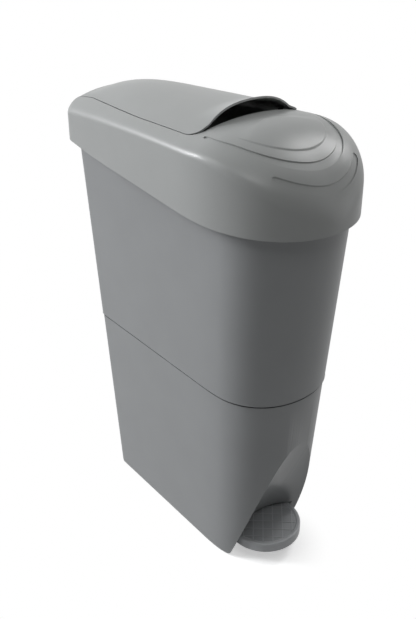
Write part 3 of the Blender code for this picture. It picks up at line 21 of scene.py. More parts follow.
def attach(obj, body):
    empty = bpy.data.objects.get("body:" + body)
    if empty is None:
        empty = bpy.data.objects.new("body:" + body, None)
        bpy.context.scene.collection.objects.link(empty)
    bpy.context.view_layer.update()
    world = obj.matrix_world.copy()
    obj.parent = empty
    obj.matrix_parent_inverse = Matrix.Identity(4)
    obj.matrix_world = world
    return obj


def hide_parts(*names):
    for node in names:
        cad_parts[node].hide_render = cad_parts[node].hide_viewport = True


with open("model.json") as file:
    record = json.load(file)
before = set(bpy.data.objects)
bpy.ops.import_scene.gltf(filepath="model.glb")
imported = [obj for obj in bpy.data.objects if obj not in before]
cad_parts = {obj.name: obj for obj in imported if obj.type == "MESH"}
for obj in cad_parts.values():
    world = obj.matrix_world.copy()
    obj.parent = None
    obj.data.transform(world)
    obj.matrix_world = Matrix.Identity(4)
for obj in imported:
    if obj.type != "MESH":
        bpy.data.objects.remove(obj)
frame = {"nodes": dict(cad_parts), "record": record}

LOG = logging.getLogger("sanitary_container")
Point = Tuple[float, float, float]
Flat = Tuple[float, float]
Ring = List[Point]
Shares = Tuple[float, ...]
Surface = Callable[[float, float], float]
Settings = Dict[str, object]
Links = Dict[Union[str, int], Socket]
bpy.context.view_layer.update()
SIDES = (-1.0, 1.0)
QUARTER = pi / 2.0
WHITE = "#FFFFFF"
PILOT_RADIUS = 0.0018
PILOT_STEPS = 20
SEAT_GAP = 0.0003
# Each tone of the plastic: colour, shade, roughness and, where it is rougher, grain and bump.
TONES = {
    "": ("#8E9091", "#8B8D8E", 0.35),
    "_hood": ("#9FA1A0", "#9C9E9D", 0.33),
    # A darker tone for the fine groove under the tub's step: painted shade in the groove.
    "_groove_painted_shade": ("#5A5C5D", "#545657", 0.55),
    # The tread's two tones are lighter copies of the plastic: painted light on the tread. The
    # etched one also has a rougher grain.
    "_tread": ("#B6B8BA", "#B2B4B6", 0.36),
    "_etched_painted_light": ("#A2A4A6", "#9A9C9E", 0.60, 0.6, 0.03),
    "_dark": ("#3A3C3D", "#343637", 0.52)}


class Body(Enum):
    """The bodies of the frame that the new pieces ride on."""

    BASE = "base"
    PEDAL = "pedal"
    HOOD = "hood"
    FLAP = "flap"


class Slot(Enum):
    """The record's material slots."""

    GREY = "grey_plastic"
    DARK = "dark_plastic"
    STEEL = "steel"
    RUBBER = "rubber"


class Deed(Enum):
    """What a Boolean does to the piece."""

    CUT = "DIFFERENCE"
    JOIN = "UNION"
    KEEP = "INTERSECT"


def clamp(value: float, low: float = 0.0, high: float = 1.0) -> float:
    """Keep a value between two limits."""
    return max(low, min(high, value))


def ease(value: float) -> float:
    """Ease a share from nought to one."""
    share = clamp(value)
    return share * share * (3.0 - 2.0 * share)


def mix(first: float, second: float, share: float) -> float:
    """Go from the first value to the second one."""
    return first + (second - first) * share


def span(side: float, inner: float, outer: float) -> Flat:
    """Return the ends of a span on one side of the middle, the lower one first."""
    return (inner, outer) if side > 0.0 else (-outer, -inner)


def around(middle: float, half: float) -> Flat:
    """Return the ends of a span round its middle."""
    return middle - half, middle + half


def linear(code: str) -> Tuple[float, float, float, float]:
    """Turn an sRGB hex colour into linear values.

    Args:
        code: six hex digits, with or without a leading hash.

    Returns:
        Red, green, blue and a full alpha.
    """
    digits = code.lstrip("#")
    values = [int(digits[place:place + 2], 16) / 255.0 for place in (0, 2, 4)]
    turned = [v / 12.92 if v <= 0.04045 else ((v + 0.055) / 1.055) ** 2.4 for v in values]
    return turned[0], turned[1], turned[2], 1.0


def set_node(tree: NodeTree, node: Node, settings: Settings, links: Links) -> Node:
    """Give a node its settings and links.

    Args:
        tree: the node tree that holds it.
        node: the node.
        settings: attributes, or input sockets by name, and their values.
        links: input sockets by name or number, and the sockets that feed them.

    Returns:
        The node.
    """
    for name, value in settings.items():
        if name in node.inputs:
            node.inputs[name].default_value = value
        else:
            setattr(node, name, value)
    for name, source in links.items():
        tree.links.new(source, node.inputs[name])
    return node


def add_node(tree: NodeTree, kind: str, settings: Optional[Settings] = None,
             links: Optional[Links] = None) -> Node:
    """Add a node of a kind to a tree, with its settings and links as in set_node."""
    return set_node(tree, tree.nodes.new(kind), settings or {}, links or {})


def per_metre(millimetres: float) -> float:
    """Return the texture scale of a pattern of a real size."""
    return 1000.0 / millimetres


class Bench:
    """A new material's nodes. Its patterns have real sizes in object coordinates."""

    def __init__(self, name: str) -> None:
        """Start a named material with a Principled shader."""
        self.material = bpy.data.materials.new(name)
        self.material.use_nodes = True
        self.tree = self.material.node_tree
        self.place = add_node(self.tree, "ShaderNodeTexCoord").outputs["Object"]

    def noise(self, millimetres: float, detail: float, place: Optional[Socket] = None) -> Socket:
        """Return a noise of a real size."""
        settings = {"Scale": per_metre(millimetres), "Detail": detail}
        return add_node(self.tree, "ShaderNodeTexNoise", settings,
                        {"Vector": place or self.place}).outputs["Fac"]

    def tint(self, source: Socket, shade: str, colour: str, ends: Flat = (0.0, 1.0)) -> Socket:
        """Return a colour that goes from the shade to the full colour between two values."""
        ramp = add_node(self.tree, "ShaderNodeValToRGB", {}, {"Fac": source})
        for element, end, code in zip(ramp.color_ramp.elements, ends, (shade, colour)):
            element.position = end
            element.color = linear(code)
        return ramp.outputs["Color"]

    def gloss(self, source: Socket, low: float, high: float) -> Socket:
        """Return a roughness that varies between two values."""
        return add_node(self.tree, "ShaderNodeMapRange", {"To Min": low, "To Max": high},
                        {"Value": source}).outputs["Result"]

    def bump(self, source: Socket, strength: float, millimetres: float) -> Socket:
        """Return the normal of a fine relief."""
        relief = {"Strength": strength, "Distance": millimetres / 1000.0}
        return add_node(self.tree, "ShaderNodeBump", relief, {"Height": source}).outputs["Normal"]

    def finish(self, settings: Settings, links: Links) -> Material:
        """Set the shader's constants and links, and return the material."""
        set_node(self.tree, self.tree.nodes["Principled BSDF"], settings, links)
        return self.material


@dataclass(frozen=True)
class MouldedPolypropylene:
    """Injection moulded polypropylene with a fine spark eroded grain: a soft, even sheen."""

    name: str
    colour: str
    shade: str
    roughness: float
    grain_mm: float = 0.9
    bump_mm: float = 0.012
    rough_spread: float = 0.05
    cloud_mm: float = 60.0
    cloud_ends: Flat = (0.3, 0.7)
    bump_strength: float = 0.35
    ior: float = 1.49

    def build(self) -> Material:
        """Build the material."""
        bench = Bench(self.name)
        cloud = bench.noise(self.cloud_mm, 3.0)
        grain = bench.noise(self.grain_mm, 4.0)
        return bench.finish({"IOR": self.ior}, {
            "Base Color": bench.tint(cloud, self.shade, self.colour, self.cloud_ends),
            "Roughness": bench.gloss(grain, *around(self.roughness, self.rough_spread)),
            "Normal": bench.bump(grain, self.bump_strength, self.bump_mm)})


@dataclass(frozen=True)
class ZincPlatedSteel:
    """Bright zinc plated steel, drawn and pressed: a bluish metal with fine drawn lines."""

    name: str = "zinc_plated_steel"
    colour: str = "#BFC3C6"
    shade: str = "#A7ABAE"
    rough_range: Flat = (0.28, 0.42)
    spangle_mm: float = 4.0
    line_mm: float = 0.4
    line_stretch: Point = (1.0, 0.05, 0.05)

    def build(self) -> Material:
        """Build the material."""
        bench = Bench(self.name)
        cells = {"Scale": per_metre(self.spangle_mm)}
        spangle = add_node(bench.tree, "ShaderNodeTexVoronoi", cells,
                           {"Vector": bench.place}).outputs["Distance"]
        drawn = add_node(bench.tree, "ShaderNodeMapping", {"Scale": self.line_stretch},
                         {"Vector": bench.place})
        lines = bench.noise(self.line_mm, 2.0, drawn.outputs["Vector"])
        return bench.finish({"Metallic": 1.0}, {
            "Base Color": bench.tint(spangle, self.shade, self.colour),
            "Roughness": bench.gloss(lines, *self.rough_range)})


@dataclass(frozen=True)
class MouldedRubber:
    """Compression moulded rubber: black and dull, with a slight bloom."""

    name: str = "moulded_rubber"
    colour: str = "#26272A"
    shade: str = "#1C1D1F"
    roughness: float = 0.82
    grain_mm: float = 1.2
    bump_mm: float = 0.05
    bump_strength: float = 0.4
    ior: float = 1.52

    def build(self) -> Material:
        """Build the material."""
        bench = Bench(self.name)
        bloom = bench.noise(self.grain_mm, 5.0)
        return bench.finish({"Roughness": self.roughness, "IOR": self.ior}, {
            "Base Color": bench.tint(bloom, self.shade, self.colour),
            "Normal": bench.bump(bloom, self.bump_strength, self.bump_mm)})


class Finishes:
    """Every finish of the container, built once."""

    def __init__(self) -> None:
        """Build the tones of the plastic, by name, and the finishes of the record's slots."""
        self.plastic = {name: MouldedPolypropylene("moulded_polypropylene" + name, *values).build()
                        for name, values in TONES.items()}
        self.of_slot = {Slot.GREY: self.plastic[""], Slot.DARK: self.plastic["_dark"],
                        Slot.STEEL: ZincPlatedSteel().build(), Slot.RUBBER: MouldedRubber().build()}


def make_active(piece: Object) -> None:
    """Select one piece and make it the active one."""
    bpy.ops.object.select_all(action="DESELECT")
    piece.select_set(True)
    bpy.context.view_layer.objects.active = piece


def newest(name: str) -> Object:
    """Name the object that was added last, and return it."""
    piece = bpy.context.object
    piece.name = name
    return piece


def modify(piece: Object, kind: str, **settings: object) -> None:
    """Add a modifier of a kind to a piece with its settings, and apply it."""
    make_active(piece)
    step = piece.modifiers.new(kind.lower(), kind)
    for name, value in settings.items():
        setattr(step, name, value)
    bpy.ops.object.modifier_apply(modifier=step.name)


def face_outwards() -> None:
    """Turn every face of the piece in edit mode outwards, and leave that mode."""
    bpy.ops.mesh.select_all(action="SELECT")
    bpy.ops.mesh.normals_make_consistent(inside=False)
    bpy.ops.object.mode_set(mode="OBJECT")


def ring_loft(name: str, rings: Sequence[Sequence[Point]], closed: bool = True) -> Object:
    """Model a body by extruding a ring again and again and shaping each ring.

    Args:
        name: the piece's name.
        rings: the rings' points, each ring with as many points as the first.
        closed: whether the first and the last ring get a face.

    Returns:
        The piece.
    """
    size = len(rings[0])
    bpy.ops.mesh.primitive_circle_add(vertices=size, radius=1.0, fill_type="NOTHING")
    piece = newest(name)
    bpy.ops.object.mode_set(mode="EDIT")
    bpy.ops.mesh.select_all(action="SELECT")
    form = bmesh.from_edit_mesh(piece.data)
    form.verts.ensure_lookup_table()
    start = row = list(range(size))
    for index, point in zip(row, rings[0]):
        form.verts[index].co = point
    for ring in rings[1:]:
        before = {tuple(form.verts[index].co): number for number, index in enumerate(row)}
        bpy.ops.mesh.extrude_edges_indiv()
        form = bmesh.from_edit_mesh(piece.data)
        form.verts.ensure_lookup_table()
        form.verts.index_update()
        found = {before[tuple(vertex.co)]: vertex.index for vertex in form.verts if vertex.select}
        row = [found[number] for number in range(size)]
        for index, point in zip(row, ring):
            form.verts[index].co = point
    for corners in (start, row) if closed else ():
        form.faces.new([form.verts[index] for index in corners])
    bmesh.update_edit_mesh(piece.data)
    face_outwards()
    return piece


def box_between(name: str, low: Point, high: Point) -> Object:
    """Model a box between two corners."""
    middle = (Vector(low) + Vector(high)) / 2.0
    bpy.ops.mesh.primitive_cube_add(size=1.0, location=middle)
    piece = newest(name)
    piece.scale = Vector(high) - Vector(low)
    bpy.ops.object.transform_apply(location=True, rotation=True, scale=True)
    return piece


def bar_between(name: str, start: Point, end: Point, radius: float, steps: int = 32) -> Object:
    """Model a cylinder between two points."""
    run = Vector(end) - Vector(start)
    bpy.ops.mesh.primitive_cylinder_add(vertices=steps, radius=radius, depth=run.length,
                                        location=(Vector(start) + Vector(end)) / 2.0,
                                        rotation=run.to_track_quat("Z", "Y").to_euler())
    piece = newest(name)
    bpy.ops.object.transform_apply(location=True, rotation=True, scale=True)
    return piece


def pilot(start: Point, end: Point) -> Object:
    """Return the cutter of a screw's pilot hole."""
    return bar_between("pilot", start, end, PILOT_RADIUS, PILOT_STEPS)


def combine(piece: Object, others: Sequence[Object], deed: Deed) -> None:
    """Join other bodies to a piece, or cut them from it, and remove them."""
    for other in others:
        modify(piece, "BOOLEAN", operation=deed.value, solver="EXACT", object=other)
        bpy.data.objects.remove(other, do_unlink=True)


def thicken(piece: Object, wall: float) -> None:
    """Give an open surface its wall on the inner side."""
    modify(piece, "SOLIDIFY", thickness=wall, offset=-1.0, use_even_offset=True,
           use_quality_normals=True)


def round_edges(piece: Object, width: float, angle: float = radians(38.0),
                keep: Flat = (0.0, 0.0)) -> None:
    """Round a piece's sharp edges a little, as a mould does.

    Args:
        piece: the piece.
        width: the rounding's width.
        angle: the least angle of an edge that is rounded.
        keep: the heights between which edges stay as they are.
    """
    form = bmesh.new()
    form.from_mesh(piece.data)
    weight = form.edges.layers.float.new("bevel_weight_edge")
    for edge in form.edges:
        height = sum(corner.co.z for corner in edge.verts) / 2.0
        sharp = len(edge.link_faces) == 2 and edge.calc_face_angle() > angle
        edge[weight] = 1.0 if sharp and not keep[0] < height < keep[1] else 0.0
    form.to_mesh(piece.data)
    form.free()
    modify(piece, "BEVEL", width=width, segments=2, limit_method="WEIGHT",
           harden_normals=False, use_clamp_overlap=True)


def shade(piece: Object, angle: float = radians(32.0)) -> None:
    """Shade a piece smooth, with its large faces ruling, and keep edges over an angle sharp."""
    make_active(piece)
    bpy.ops.object.shade_smooth_by_angle(angle=angle)
    modify(piece, "WEIGHTED_NORMAL", mode="FACE_AREA", keep_sharp=True)


def paint(piece: Object, material: Material, wanted: Callable[[MeshPolygon], bool]) -> None:
    """Give the faces that a test picks out a finish of their own."""
    piece.data.materials.append(material)
    for face in piece.data.polygons:
        if wanted(face):
            face.material_index = 1


def finish_piece(piece: Object, material: Material, body: Body,
                 stands_for: Sequence[str] = ()) -> Object:
    """Dress a piece, hang it on its body and hide the nodes that it replaces.

    Args:
        piece: the finished mesh, with its place in the mesh.
        material: the finish.
        body: the body it rides on.
        stands_for: the nodes that it replaces.

    Returns:
        The piece.
    """
    piece.data.materials.clear()
    piece.data.materials.append(material)
    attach(piece, body.value)
    if stands_for:
        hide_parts(*stands_for)
    LOG.info("%s rides on %s", piece.name, body.value)
    return piece


@dataclass(frozen=True)
class Plan:
    """A plan outline: a round nose in front and sides that draw in to a flat back."""

    half_width: float
    back: float
    front: float
    nose: float
    corner: float
    taper_share: float = 0.2885
    blend_share: float = 0.10
    power: float = 2.12
    crowding: float = 1.4

    @property
    def start(self) -> float:
        """Return where the nose meets the sides."""
        return self.front + self.nose

    def taper(self, place: float) -> float:
        """Return the share of the full width that is left at a place."""
        along = clamp((place - self.start) / (self.back - self.start))
        blend = self.blend_share
        run = along * along / (2.0 * blend) if along < blend else along - blend / 2.0
        return 1.0 - self.taper_share * run / (1.0 - blend / 2.0)

    def width_at(self, place: float) -> float:
        """Return the half width of a side at a place."""
        return self.half_width * self.taper(place)

    def outline(self, nose: int, side: int, corner: int, back: int) -> List[Flat]:
        """Return the closed outline, anticlockwise from above.

        Args:
            nose: steps round half the nose.
            side: steps along a side.
            corner: steps round a back corner.
            back: steps along half the back.

        Returns:
            The outline's points.
        """
        points: List[Flat] = []
        power = 2.0 / self.power
        for step in range(nose):
            angle = step / nose * QUARTER
            points.append((self.half_width * sin(angle) ** power,
                           self.start - self.nose * cos(angle) ** power))
        side_end = self.back - self.corner
        for step in range(side):
            place = mix(self.start, side_end, (step / side) ** self.crowding)
            points.append((self.width_at(place), place))
        corner_x = self.width_at(side_end) - self.corner
        for step in range(corner):
            angle = step / corner * QUARTER
            points.append((corner_x + self.corner * cos(angle),
                           side_end + self.corner * sin(angle)))
        for step in range(back + 1):
            points.append((corner_x * (1.0 - step / back), self.back))
        return points + [(-across, place) for across, place in reversed(points[1:-1])]


@dataclass
class Tub:
    """The tapered tub with its step, its scoop and its hollow base.

    Foot and head are the half width, the back and the front at the floor and at the datum.
    """

    datum: float = 0.500
    foot: Point = (0.0648, 0.1604, -0.1536)
    head: Point = (0.0906, 0.1862, -0.1862)
    nose: float = 0.0722
    corner: float = 0.009
    wall: float = 0.0028
    lift: float = 0.0015
    step_height: float = 0.2656
    step_rise: float = 0.0004
    step_depth: float = 0.0013
    step_groove: float = 0.0008
    step_lip: float = 0.0004
    groove_shares: Flat = (2.9, 2.6)
    lip_share: float = 3.5
    keep_share: float = 4.0
    # How far below the step the painted shade in the groove reaches, in groove depths.
    seam_share: float = 3.0
    rim: float = 0.5187
    rake: float = 0.076
    foot_round: float = 0.0050
    foot_shares: Tuple[Flat, ...] = ((0.0, 0.5), (0.12, 0.27), (0.5, 0.08), (1.0, 0.0))
    floor_low: float = 0.0470
    floor_wall: float = 0.0030
    fillet: float = 0.0060
    fillet_shares: Tuple[Flat, ...] = ((0.0, 1.0), (0.12, 0.5), (0.5, 0.12), (1.0, 0.0))
    scoop_foot: float = -0.0790
    scoop_lean: float = 0.455
    scoop_half: float = 0.0800
    scoop_side: float = 0.0448
    scoop_front: float = -0.2500
    scoop_top: float = 0.2300
    tip_round: float = 0.0090
    curtain_half: float = 0.0525
    curtain_low: float = 0.0362
    overrun: float = 0.0200
    posts: Tuple[Flat, ...] = ((0.052, -0.06), (-0.052, -0.06), (0.036, 0.138), (-0.036, 0.138))
    post_radius: float = 0.0080
    stem_radius: float = 0.0033
    stem_depth: float = 0.0083
    pad_x: Flat = (0.0135, 0.0215)
    pad_y: Flat = (-0.0050, 0.0290)
    pad_z: Flat = (0.0410, 0.0485)
    pad_hole_x: float = 0.0175
    pad_hole_y: Flat = (-0.0005, 0.0245)
    pad_hole_z: Flat = (0.0300, 0.0453)
    rod_base: Point = (0.0, 0.1392, 0.0267834)
    rod_axis: Point = (0.0, 0.0515314, 0.9986714)
    rod_way: Flat = (-0.0200, 0.0670)
    rod_way_radius: float = 0.0040
    guide_heights: Flat = (0.1200, 0.4600)
    guide_pad: Point = (0.0180, 0.0030, 0.0060)
    guide_hole_x: float = 0.0120
    guide_hole_y: Flat = (-0.0120, -0.0018)
    edge_round: float = 0.0010
    steps: Tuple[int, ...] = (36, 14, 8, 3)
    scoop_steps: int = 56
    tip_steps: int = 8

    def plan(self, height: float, grow: float = 0.0) -> Plan:
        """Return the plan at a height, grown outwards."""
        half, back, front = (mix(low, high, height / self.datum)
                             for low, high in zip(self.foot, self.head))
        return Plan(half + grow, back + grow, front - grow, self.nose + grow,
                    max(self.corner + grow, self.wall))

    def level(self, height: float, grow: float = 0.0) -> Ring:
        """Return the outline at one height."""
        return [(x, y, height) for x, y in self.plan(height, grow).outline(*self.steps)]

    def rounded(self, low: float, size: float, grow: float, shares: Sequence[Flat]) -> List[Ring]:
        """Return a rounding's rings, with each one's rise and way in as shares of its size."""
        return [self.level(low + size * rise, grow - size * way) for rise, way in shares]

    def raked(self, grow: float, above: float = 0.0) -> Ring:
        """Return the outline of the raked rim."""
        ring: Ring = []
        for (low_x, low_y, _), (high_x, high_y, _) in zip(self.level(0.0, grow),
                                                          self.level(self.datum, grow)):
            lean = (high_y - low_y) / self.datum
            height = (self.rim + above + self.rake * low_y) / (1.0 - self.rake * lean)
            share = height / self.datum
            ring.append((mix(low_x, high_x, share), mix(low_y, high_y, share), height))
        return ring

    def scoop(self, grow: float) -> Object:
        """Return the body of the scoop, grown by a wall. The ungrown one rounds the leg tips."""
        rings: List[Ring] = []
        curve = self.scoop_side / self.scoop_half ** 2
        tip = [self.lift + self.tip_round * (1.0 - cos(QUARTER * number / self.tip_steps))
               for number in range(self.tip_steps + 1)]
        for height in [-self.overrun] + tip + [self.scoop_top]:
            ring: Ring = []
            rise = clamp((height - self.lift) / self.tip_round)
            shift = self.tip_round * (1.0 - sqrt(1.0 - (1.0 - rise) ** 2)) if grow == 0.0 else 0.0
            for step in range(self.scoop_steps + 1):
                across = self.scoop_half * (1.0 - 2.0 * step / self.scoop_steps)
                spread = sqrt(1.0 + (2.0 * curve * across) ** 2 + self.scoop_lean ** 2)
                place = self.scoop_foot - self.scoop_lean * height - curve * across * across
                ring.append((across, place + grow * spread + shift, height))
            ring += [(side * self.scoop_half, self.scoop_front, height) for side in SIDES]
            rings.append(ring)
        return ring_loft("scoop", rings)

    def curtain(self) -> Object:
        """Return the lower part of the scoop's wall, which ends just above the tread."""
        half, reach = self.scoop_half, self.scoop_half * 1.1
        curtain = box_between("curtain", (-reach, self.scoop_front, -self.overrun * 1.5),
                              (reach, 0.0, self.floor_low + self.wall))
        way = box_between("way", (-self.curtain_half, self.scoop_front - half, -self.overrun * 2.0),
                          (self.curtain_half, half, self.curtain_low))
        combine(curtain, [way], Deed.CUT)
        combine(curtain, [self.scoop(self.wall)], Deed.KEEP)
        return curtain

    def on_back(self, height: float) -> Matrix:
        """Return a frame on the outside of the back wall, with its upright along the wall."""
        lean = (self.head[1] - self.foot[1]) / self.datum
        out = self.step_depth if height > self.step_height else 0.0
        place = Vector((0.0, self.foot[1] + lean * height + out, height))
        return Matrix.Translation(place) @ Matrix.Rotation(-atan2(lean, 1.0), 4, "X")

    def fittings(self) -> List[Object]:
        """Return the foot posts, the axle block pads and the guide pads."""
        top = self.floor_low + self.wall / 2.0
        found = [bar_between("post", (x, y, self.lift), (x, y, top), self.post_radius)
                 for x, y in self.posts]
        for side in SIDES:
            low, high = zip(span(side, *self.pad_x), self.pad_y, self.pad_z)
            found.append(box_between("block_pad", low, high))
        half, deep, tall = self.guide_pad
        for height in self.guide_heights:
            pad = box_between("guide_pad", (-half, -self.wall - deep, -tall),
                              (half, -self.wall / 2.0, tall))
            pad.data.transform(self.on_back(height))
            found.append(pad)
        return found

    def holes(self) -> List[Object]:
        """Return the cutters of the stem holes, the rod's hole and the screw holes."""
        found = [bar_between("stem", (x, y, -self.overrun), (x, y, self.lift + self.stem_depth),
                             self.stem_radius) for x, y in self.posts]
        base, axis = Vector(self.rod_base), Vector(self.rod_axis)
        near, far = (base + axis * reach for reach in self.rod_way)
        found.append(bar_between("rod_way", near, far, self.rod_way_radius))
        for side in SIDES:
            for place in self.pad_hole_y:
                low, high = ((side * self.pad_hole_x, place, height) for height in self.pad_hole_z)
                found.append(pilot(low, high))
            for height in self.guide_heights:
                spots = (Vector((side * self.guide_hole_x, y, 0.0)) for y in self.guide_hole_y)
                found.append(pilot(*(self.on_back(height) @ spot for spot in spots)))
        return found

    def rings(self) -> List[Ring]:
        """Return the rings of the outside: the upper wall stands out over a fine groove."""
        step, knee = self.step_height, self.step_height + self.step_rise
        groove, depth, lip = self.step_groove, self.step_depth, self.step_lip
        low, turn = (step - groove * share for share in self.groove_shares)
        ledge = ((low, 0.0), (turn, -groove), (step, -groove), (knee, depth),
                 (knee + lip, depth + lip), (knee + lip * self.lip_share, depth))
        return (self.rounded(self.lift, self.foot_round, 0.0, self.foot_shares)
                + [self.level(height, grow) for height, grow in ledge] + [self.raked(depth)])

    def build(self, material: Material, seam: Material) -> Object:
        """Build and dress the tub.

        Args:
            material: the moulded finish.
            seam: the darker finish of the fine groove under the step: painted shade in the groove.

        Returns:
            The finished piece.
        """
        tub = ring_loft("tub_moulding", self.rings())
        inside = self.rounded(self.floor_low + self.floor_wall, self.fillet, -self.wall,
                              self.fillet_shares)
        inside.append(self.raked(self.step_depth - self.wall, self.overrun))
        cavity = ring_loft("cavity", inside)
        combine(cavity, [self.scoop(self.wall)], Deed.CUT)
        hollow = ring_loft("hollow", [self.level(-self.overrun, -self.wall),
                                      self.level(self.floor_low, -self.wall)])
        combine(hollow, [self.curtain()], Deed.CUT)
        combine(tub, [cavity, self.scoop(0.0), hollow], Deed.CUT)
        combine(tub, self.fittings(), Deed.JOIN)
        combine(tub, self.holes(), Deed.CUT)
        step, groove = self.step_height, self.step_groove
        round_edges(tub, self.edge_round, keep=around(step, groove * self.keep_share))
        shade(tub)
        finish_piece(tub, material, Body.BASE, ("body_shell",))
        # The faces of the fine groove under the step take the darker tone: painted shade.
        low, high = step - groove * self.seam_share, step + self.step_rise / 2.0
        paint(tub, seam, lambda face: all(low < tub.data.vertices[index].co.z < high
                                          for index in face.vertices))
        return tub


@dataclass
class Hood:
    """The overhanging hood with its domed, grooved nose."""

    edge: float = 0.5017
    rake: float = 0.076
    edge_lift: float = 0.0046
    lift_start: float = 0.65
    half: float = 0.1056
    back: float = 0.2012
    front: float = -0.2012
    nose: float = 0.1141
    corner: float = 0.016
    wall: float = 0.0022
    shoulder: float = 0.5670
    nose_drop: float = 0.0653
    nose_bow: float = -1.348
    back_drop: float = 0.0105
    back_power: float = 2.2
    round_side: float = 0.0040
    round_nose: float = 0.0045
    shoulder_share: float = 0.93
    shoulder_step: float = 0.02
    shoulder_rings: int = 12
    dome: float = 0.5893
    dome_drop: float = 0.0080
    side_power: float = 0.650
    nose_power: float = 0.612
    dome_shares: Shares = (
        0.91, 0.89, 0.87, 0.84, 0.81, 0.78, 0.75, 0.72, 0.69, 0.66, 0.63, 0.612, 0.6075, 0.603,
        0.597, 0.5925, 0.588, 0.55, 0.5, 0.44, 0.38, 0.32, 0.26, 0.2, 0.14, 0.09)
    crease_step: float = 0.0010
    crease_share: float = 0.600
    crease_blend: float = 0.020
    crease_start: float = 0.15
    crease_fade: float = 0.20
    groove_depth: float = 0.0016
    groove_tail: float = 0.0105
    groove_ends: Shares = (0.18, 0.48, 0.7, 0.86, 0.96, 1.0)
    tail_shares: Shares = (1.0, 0.97, 0.92, 0.85, 0.76, 0.65, 0.5, 0.25)
    upper_run: Tuple[float, float, int] = (0.02, 0.035, 28)
    upper_groove: Flat = (0.708, 0.776)
    upper_narrow: float = 0.027
    upper_fade: float = 0.30
    lower_run: Tuple[float, float, int] = (0.59, 0.0273, 15)
    lower_groove: Flat = (0.873, 0.926)
    lower_end: Shares = (0.525, 0.528, 0.533, 0.541, 0.551, 0.565)
    seam_share: float = 0.8145
    seam_loss: float = 0.180
    seam_start: float = 0.406
    seam_end: float = 0.875
    seam_power: float = 1.6
    notch: float = 0.5483
    hinge: Flat = (0.1800, 0.5630)
    bore_radius: float = 0.0023
    bore_over: float = 0.0013
    lug_gap: float = 0.0040
    lug_wall: float = 0.0030
    block_half: float = 0.0060
    rest_y: float = -0.0420
    rest_inset: float = 0.0140
    rest_length: float = 0.0190
    rest_sink: float = 0.0065
    rest_drop: float = 0.0100
    rib_half: float = 0.00125
    rib_inset: float = 0.0060
    rib_tall: float = 0.0200
    rib_shares: Shares = (-0.28, 0.18, 0.62)
    back_rib_x: float = 0.0630
    back_rib_tall: float = 0.0100
    ring_rise: float = 0.0028
    boss_x: float = 0.0350
    boss_setback: float = 0.0060
    boss_radius: float = 0.0030
    boss_drop: float = 0.0024
    boss_tall: float = 0.0015
    boss_pilot: Flat = (-0.0040, 0.0030)
    edge_round: float = 0.0008
    steps: Tuple[int, ...] = (44, 18, 8, 4)

    def plan(self, share: float = 1.0) -> Plan:
        """Return the plan, drawn in towards the middle line."""
        start = self.front + self.nose
        return Plan(self.half * share, self.back - self.half * (1.0 - share),
                    start - self.nose * share, self.nose * share, self.corner * share)

    def outline(self, share: float = 1.0) -> List[Flat]:
        """Return the plan's outline."""
        return self.plan(share).outline(*self.steps)

    def edge_at(self, place: float) -> float:
        """Return the height of the lower edge, which lifts a little more at the back."""
        start = mix(self.front + self.nose, self.back, self.lift_start)
        back = clamp((place - start) / (self.back - start))
        return self.edge + self.rake * place + self.edge_lift * back * back

    def where(self, across: float, place: float) -> Point:
        """Return how far out, how far round the nose and how far back a point lies."""
        plan = self.plan()
        forward = max(0.0, plan.start - place) / plan.nose
        side = abs(across) / plan.width_at(place)
        out = min(1.0, (forward ** plan.power + side ** plan.power) ** (1.0 / plan.power))
        turn = atan2(forward, side) / QUARTER if forward > 0.0 else 0.0
        return out, turn, clamp((place - plan.start) / (plan.back - plan.start))

    def shoulder_at(self, turn: float, along: float) -> float:
        """Return the height at which the top would meet the wall."""
        bow = self.nose_bow * (turn - 0.5) * (turn * (1.0 - turn)) ** 2
        drop = self.nose_drop * (ease(turn) + bow)
        return self.shoulder - drop - self.back_drop * along ** self.back_power

    def top(self, across: float, place: float) -> float:
        """Return the height of the upper surface."""
        out, turn, along = self.where(across, place)
        low = self.shoulder_at(turn, along)
        high = self.dome - self.dome_drop * along ** 3
        power = mix(self.side_power, self.nose_power, ease(turn))
        crease = ease((self.crease_share + self.crease_blend / 2.0 - out) / self.crease_blend)
        step = self.crease_step * crease * ease((turn - self.crease_start) / self.crease_fade)
        return low + (high - low) * (1.0 - out * out) ** power + step

    def seam(self, place: float) -> float:
        """Return how far out the seam between hood and flap lies."""
        plan = self.plan()
        place = min(place, mix(plan.start, self.back, self.seam_end))
        start = mix(plan.start, self.back, self.seam_start)
        loss = clamp((place - start) / (self.back - start)) ** self.seam_power
        return plan.width_at(place) * (self.seam_share - self.seam_loss * loss)

    def rings(self) -> List[Ring]:
        """Return the rings from the lower edge over the shoulder to the dome."""
        wall = self.outline()
        inner = self.outline(self.shoulder_share)
        inmost = self.outline(self.shoulder_share - self.shoulder_step)
        rings: List[Ring] = [[(x, y, self.edge_at(y)) for x, y in wall]]
        for number in range(self.shoulder_rings + 1):
            share = number / self.shoulder_rings
            rest = 1.0 - share
            ring: Ring = []
            for outside, edge, within in zip(wall, inner, inmost):
                _, turn, along = self.where(*outside)
                height = self.top(*edge)
                slope = (height - self.top(*within)) / self.shoulder_step
                knee = height + slope * (1.0 - self.shoulder_share)
                foot = self.shoulder_at(turn, along) - mix(self.round_side, self.round_nose, turn)
                ring.append(tuple(Vector((*outside, foot)) * rest * rest
                                  + Vector((*outside, knee)) * 2.0 * share * rest
                                  + Vector((*edge, height)) * share * share))
            rings.append(ring)
        return rings + [[(x, y, self.top(x, y)) for x, y in self.outline(share)]
                        for share in self.dome_shares]

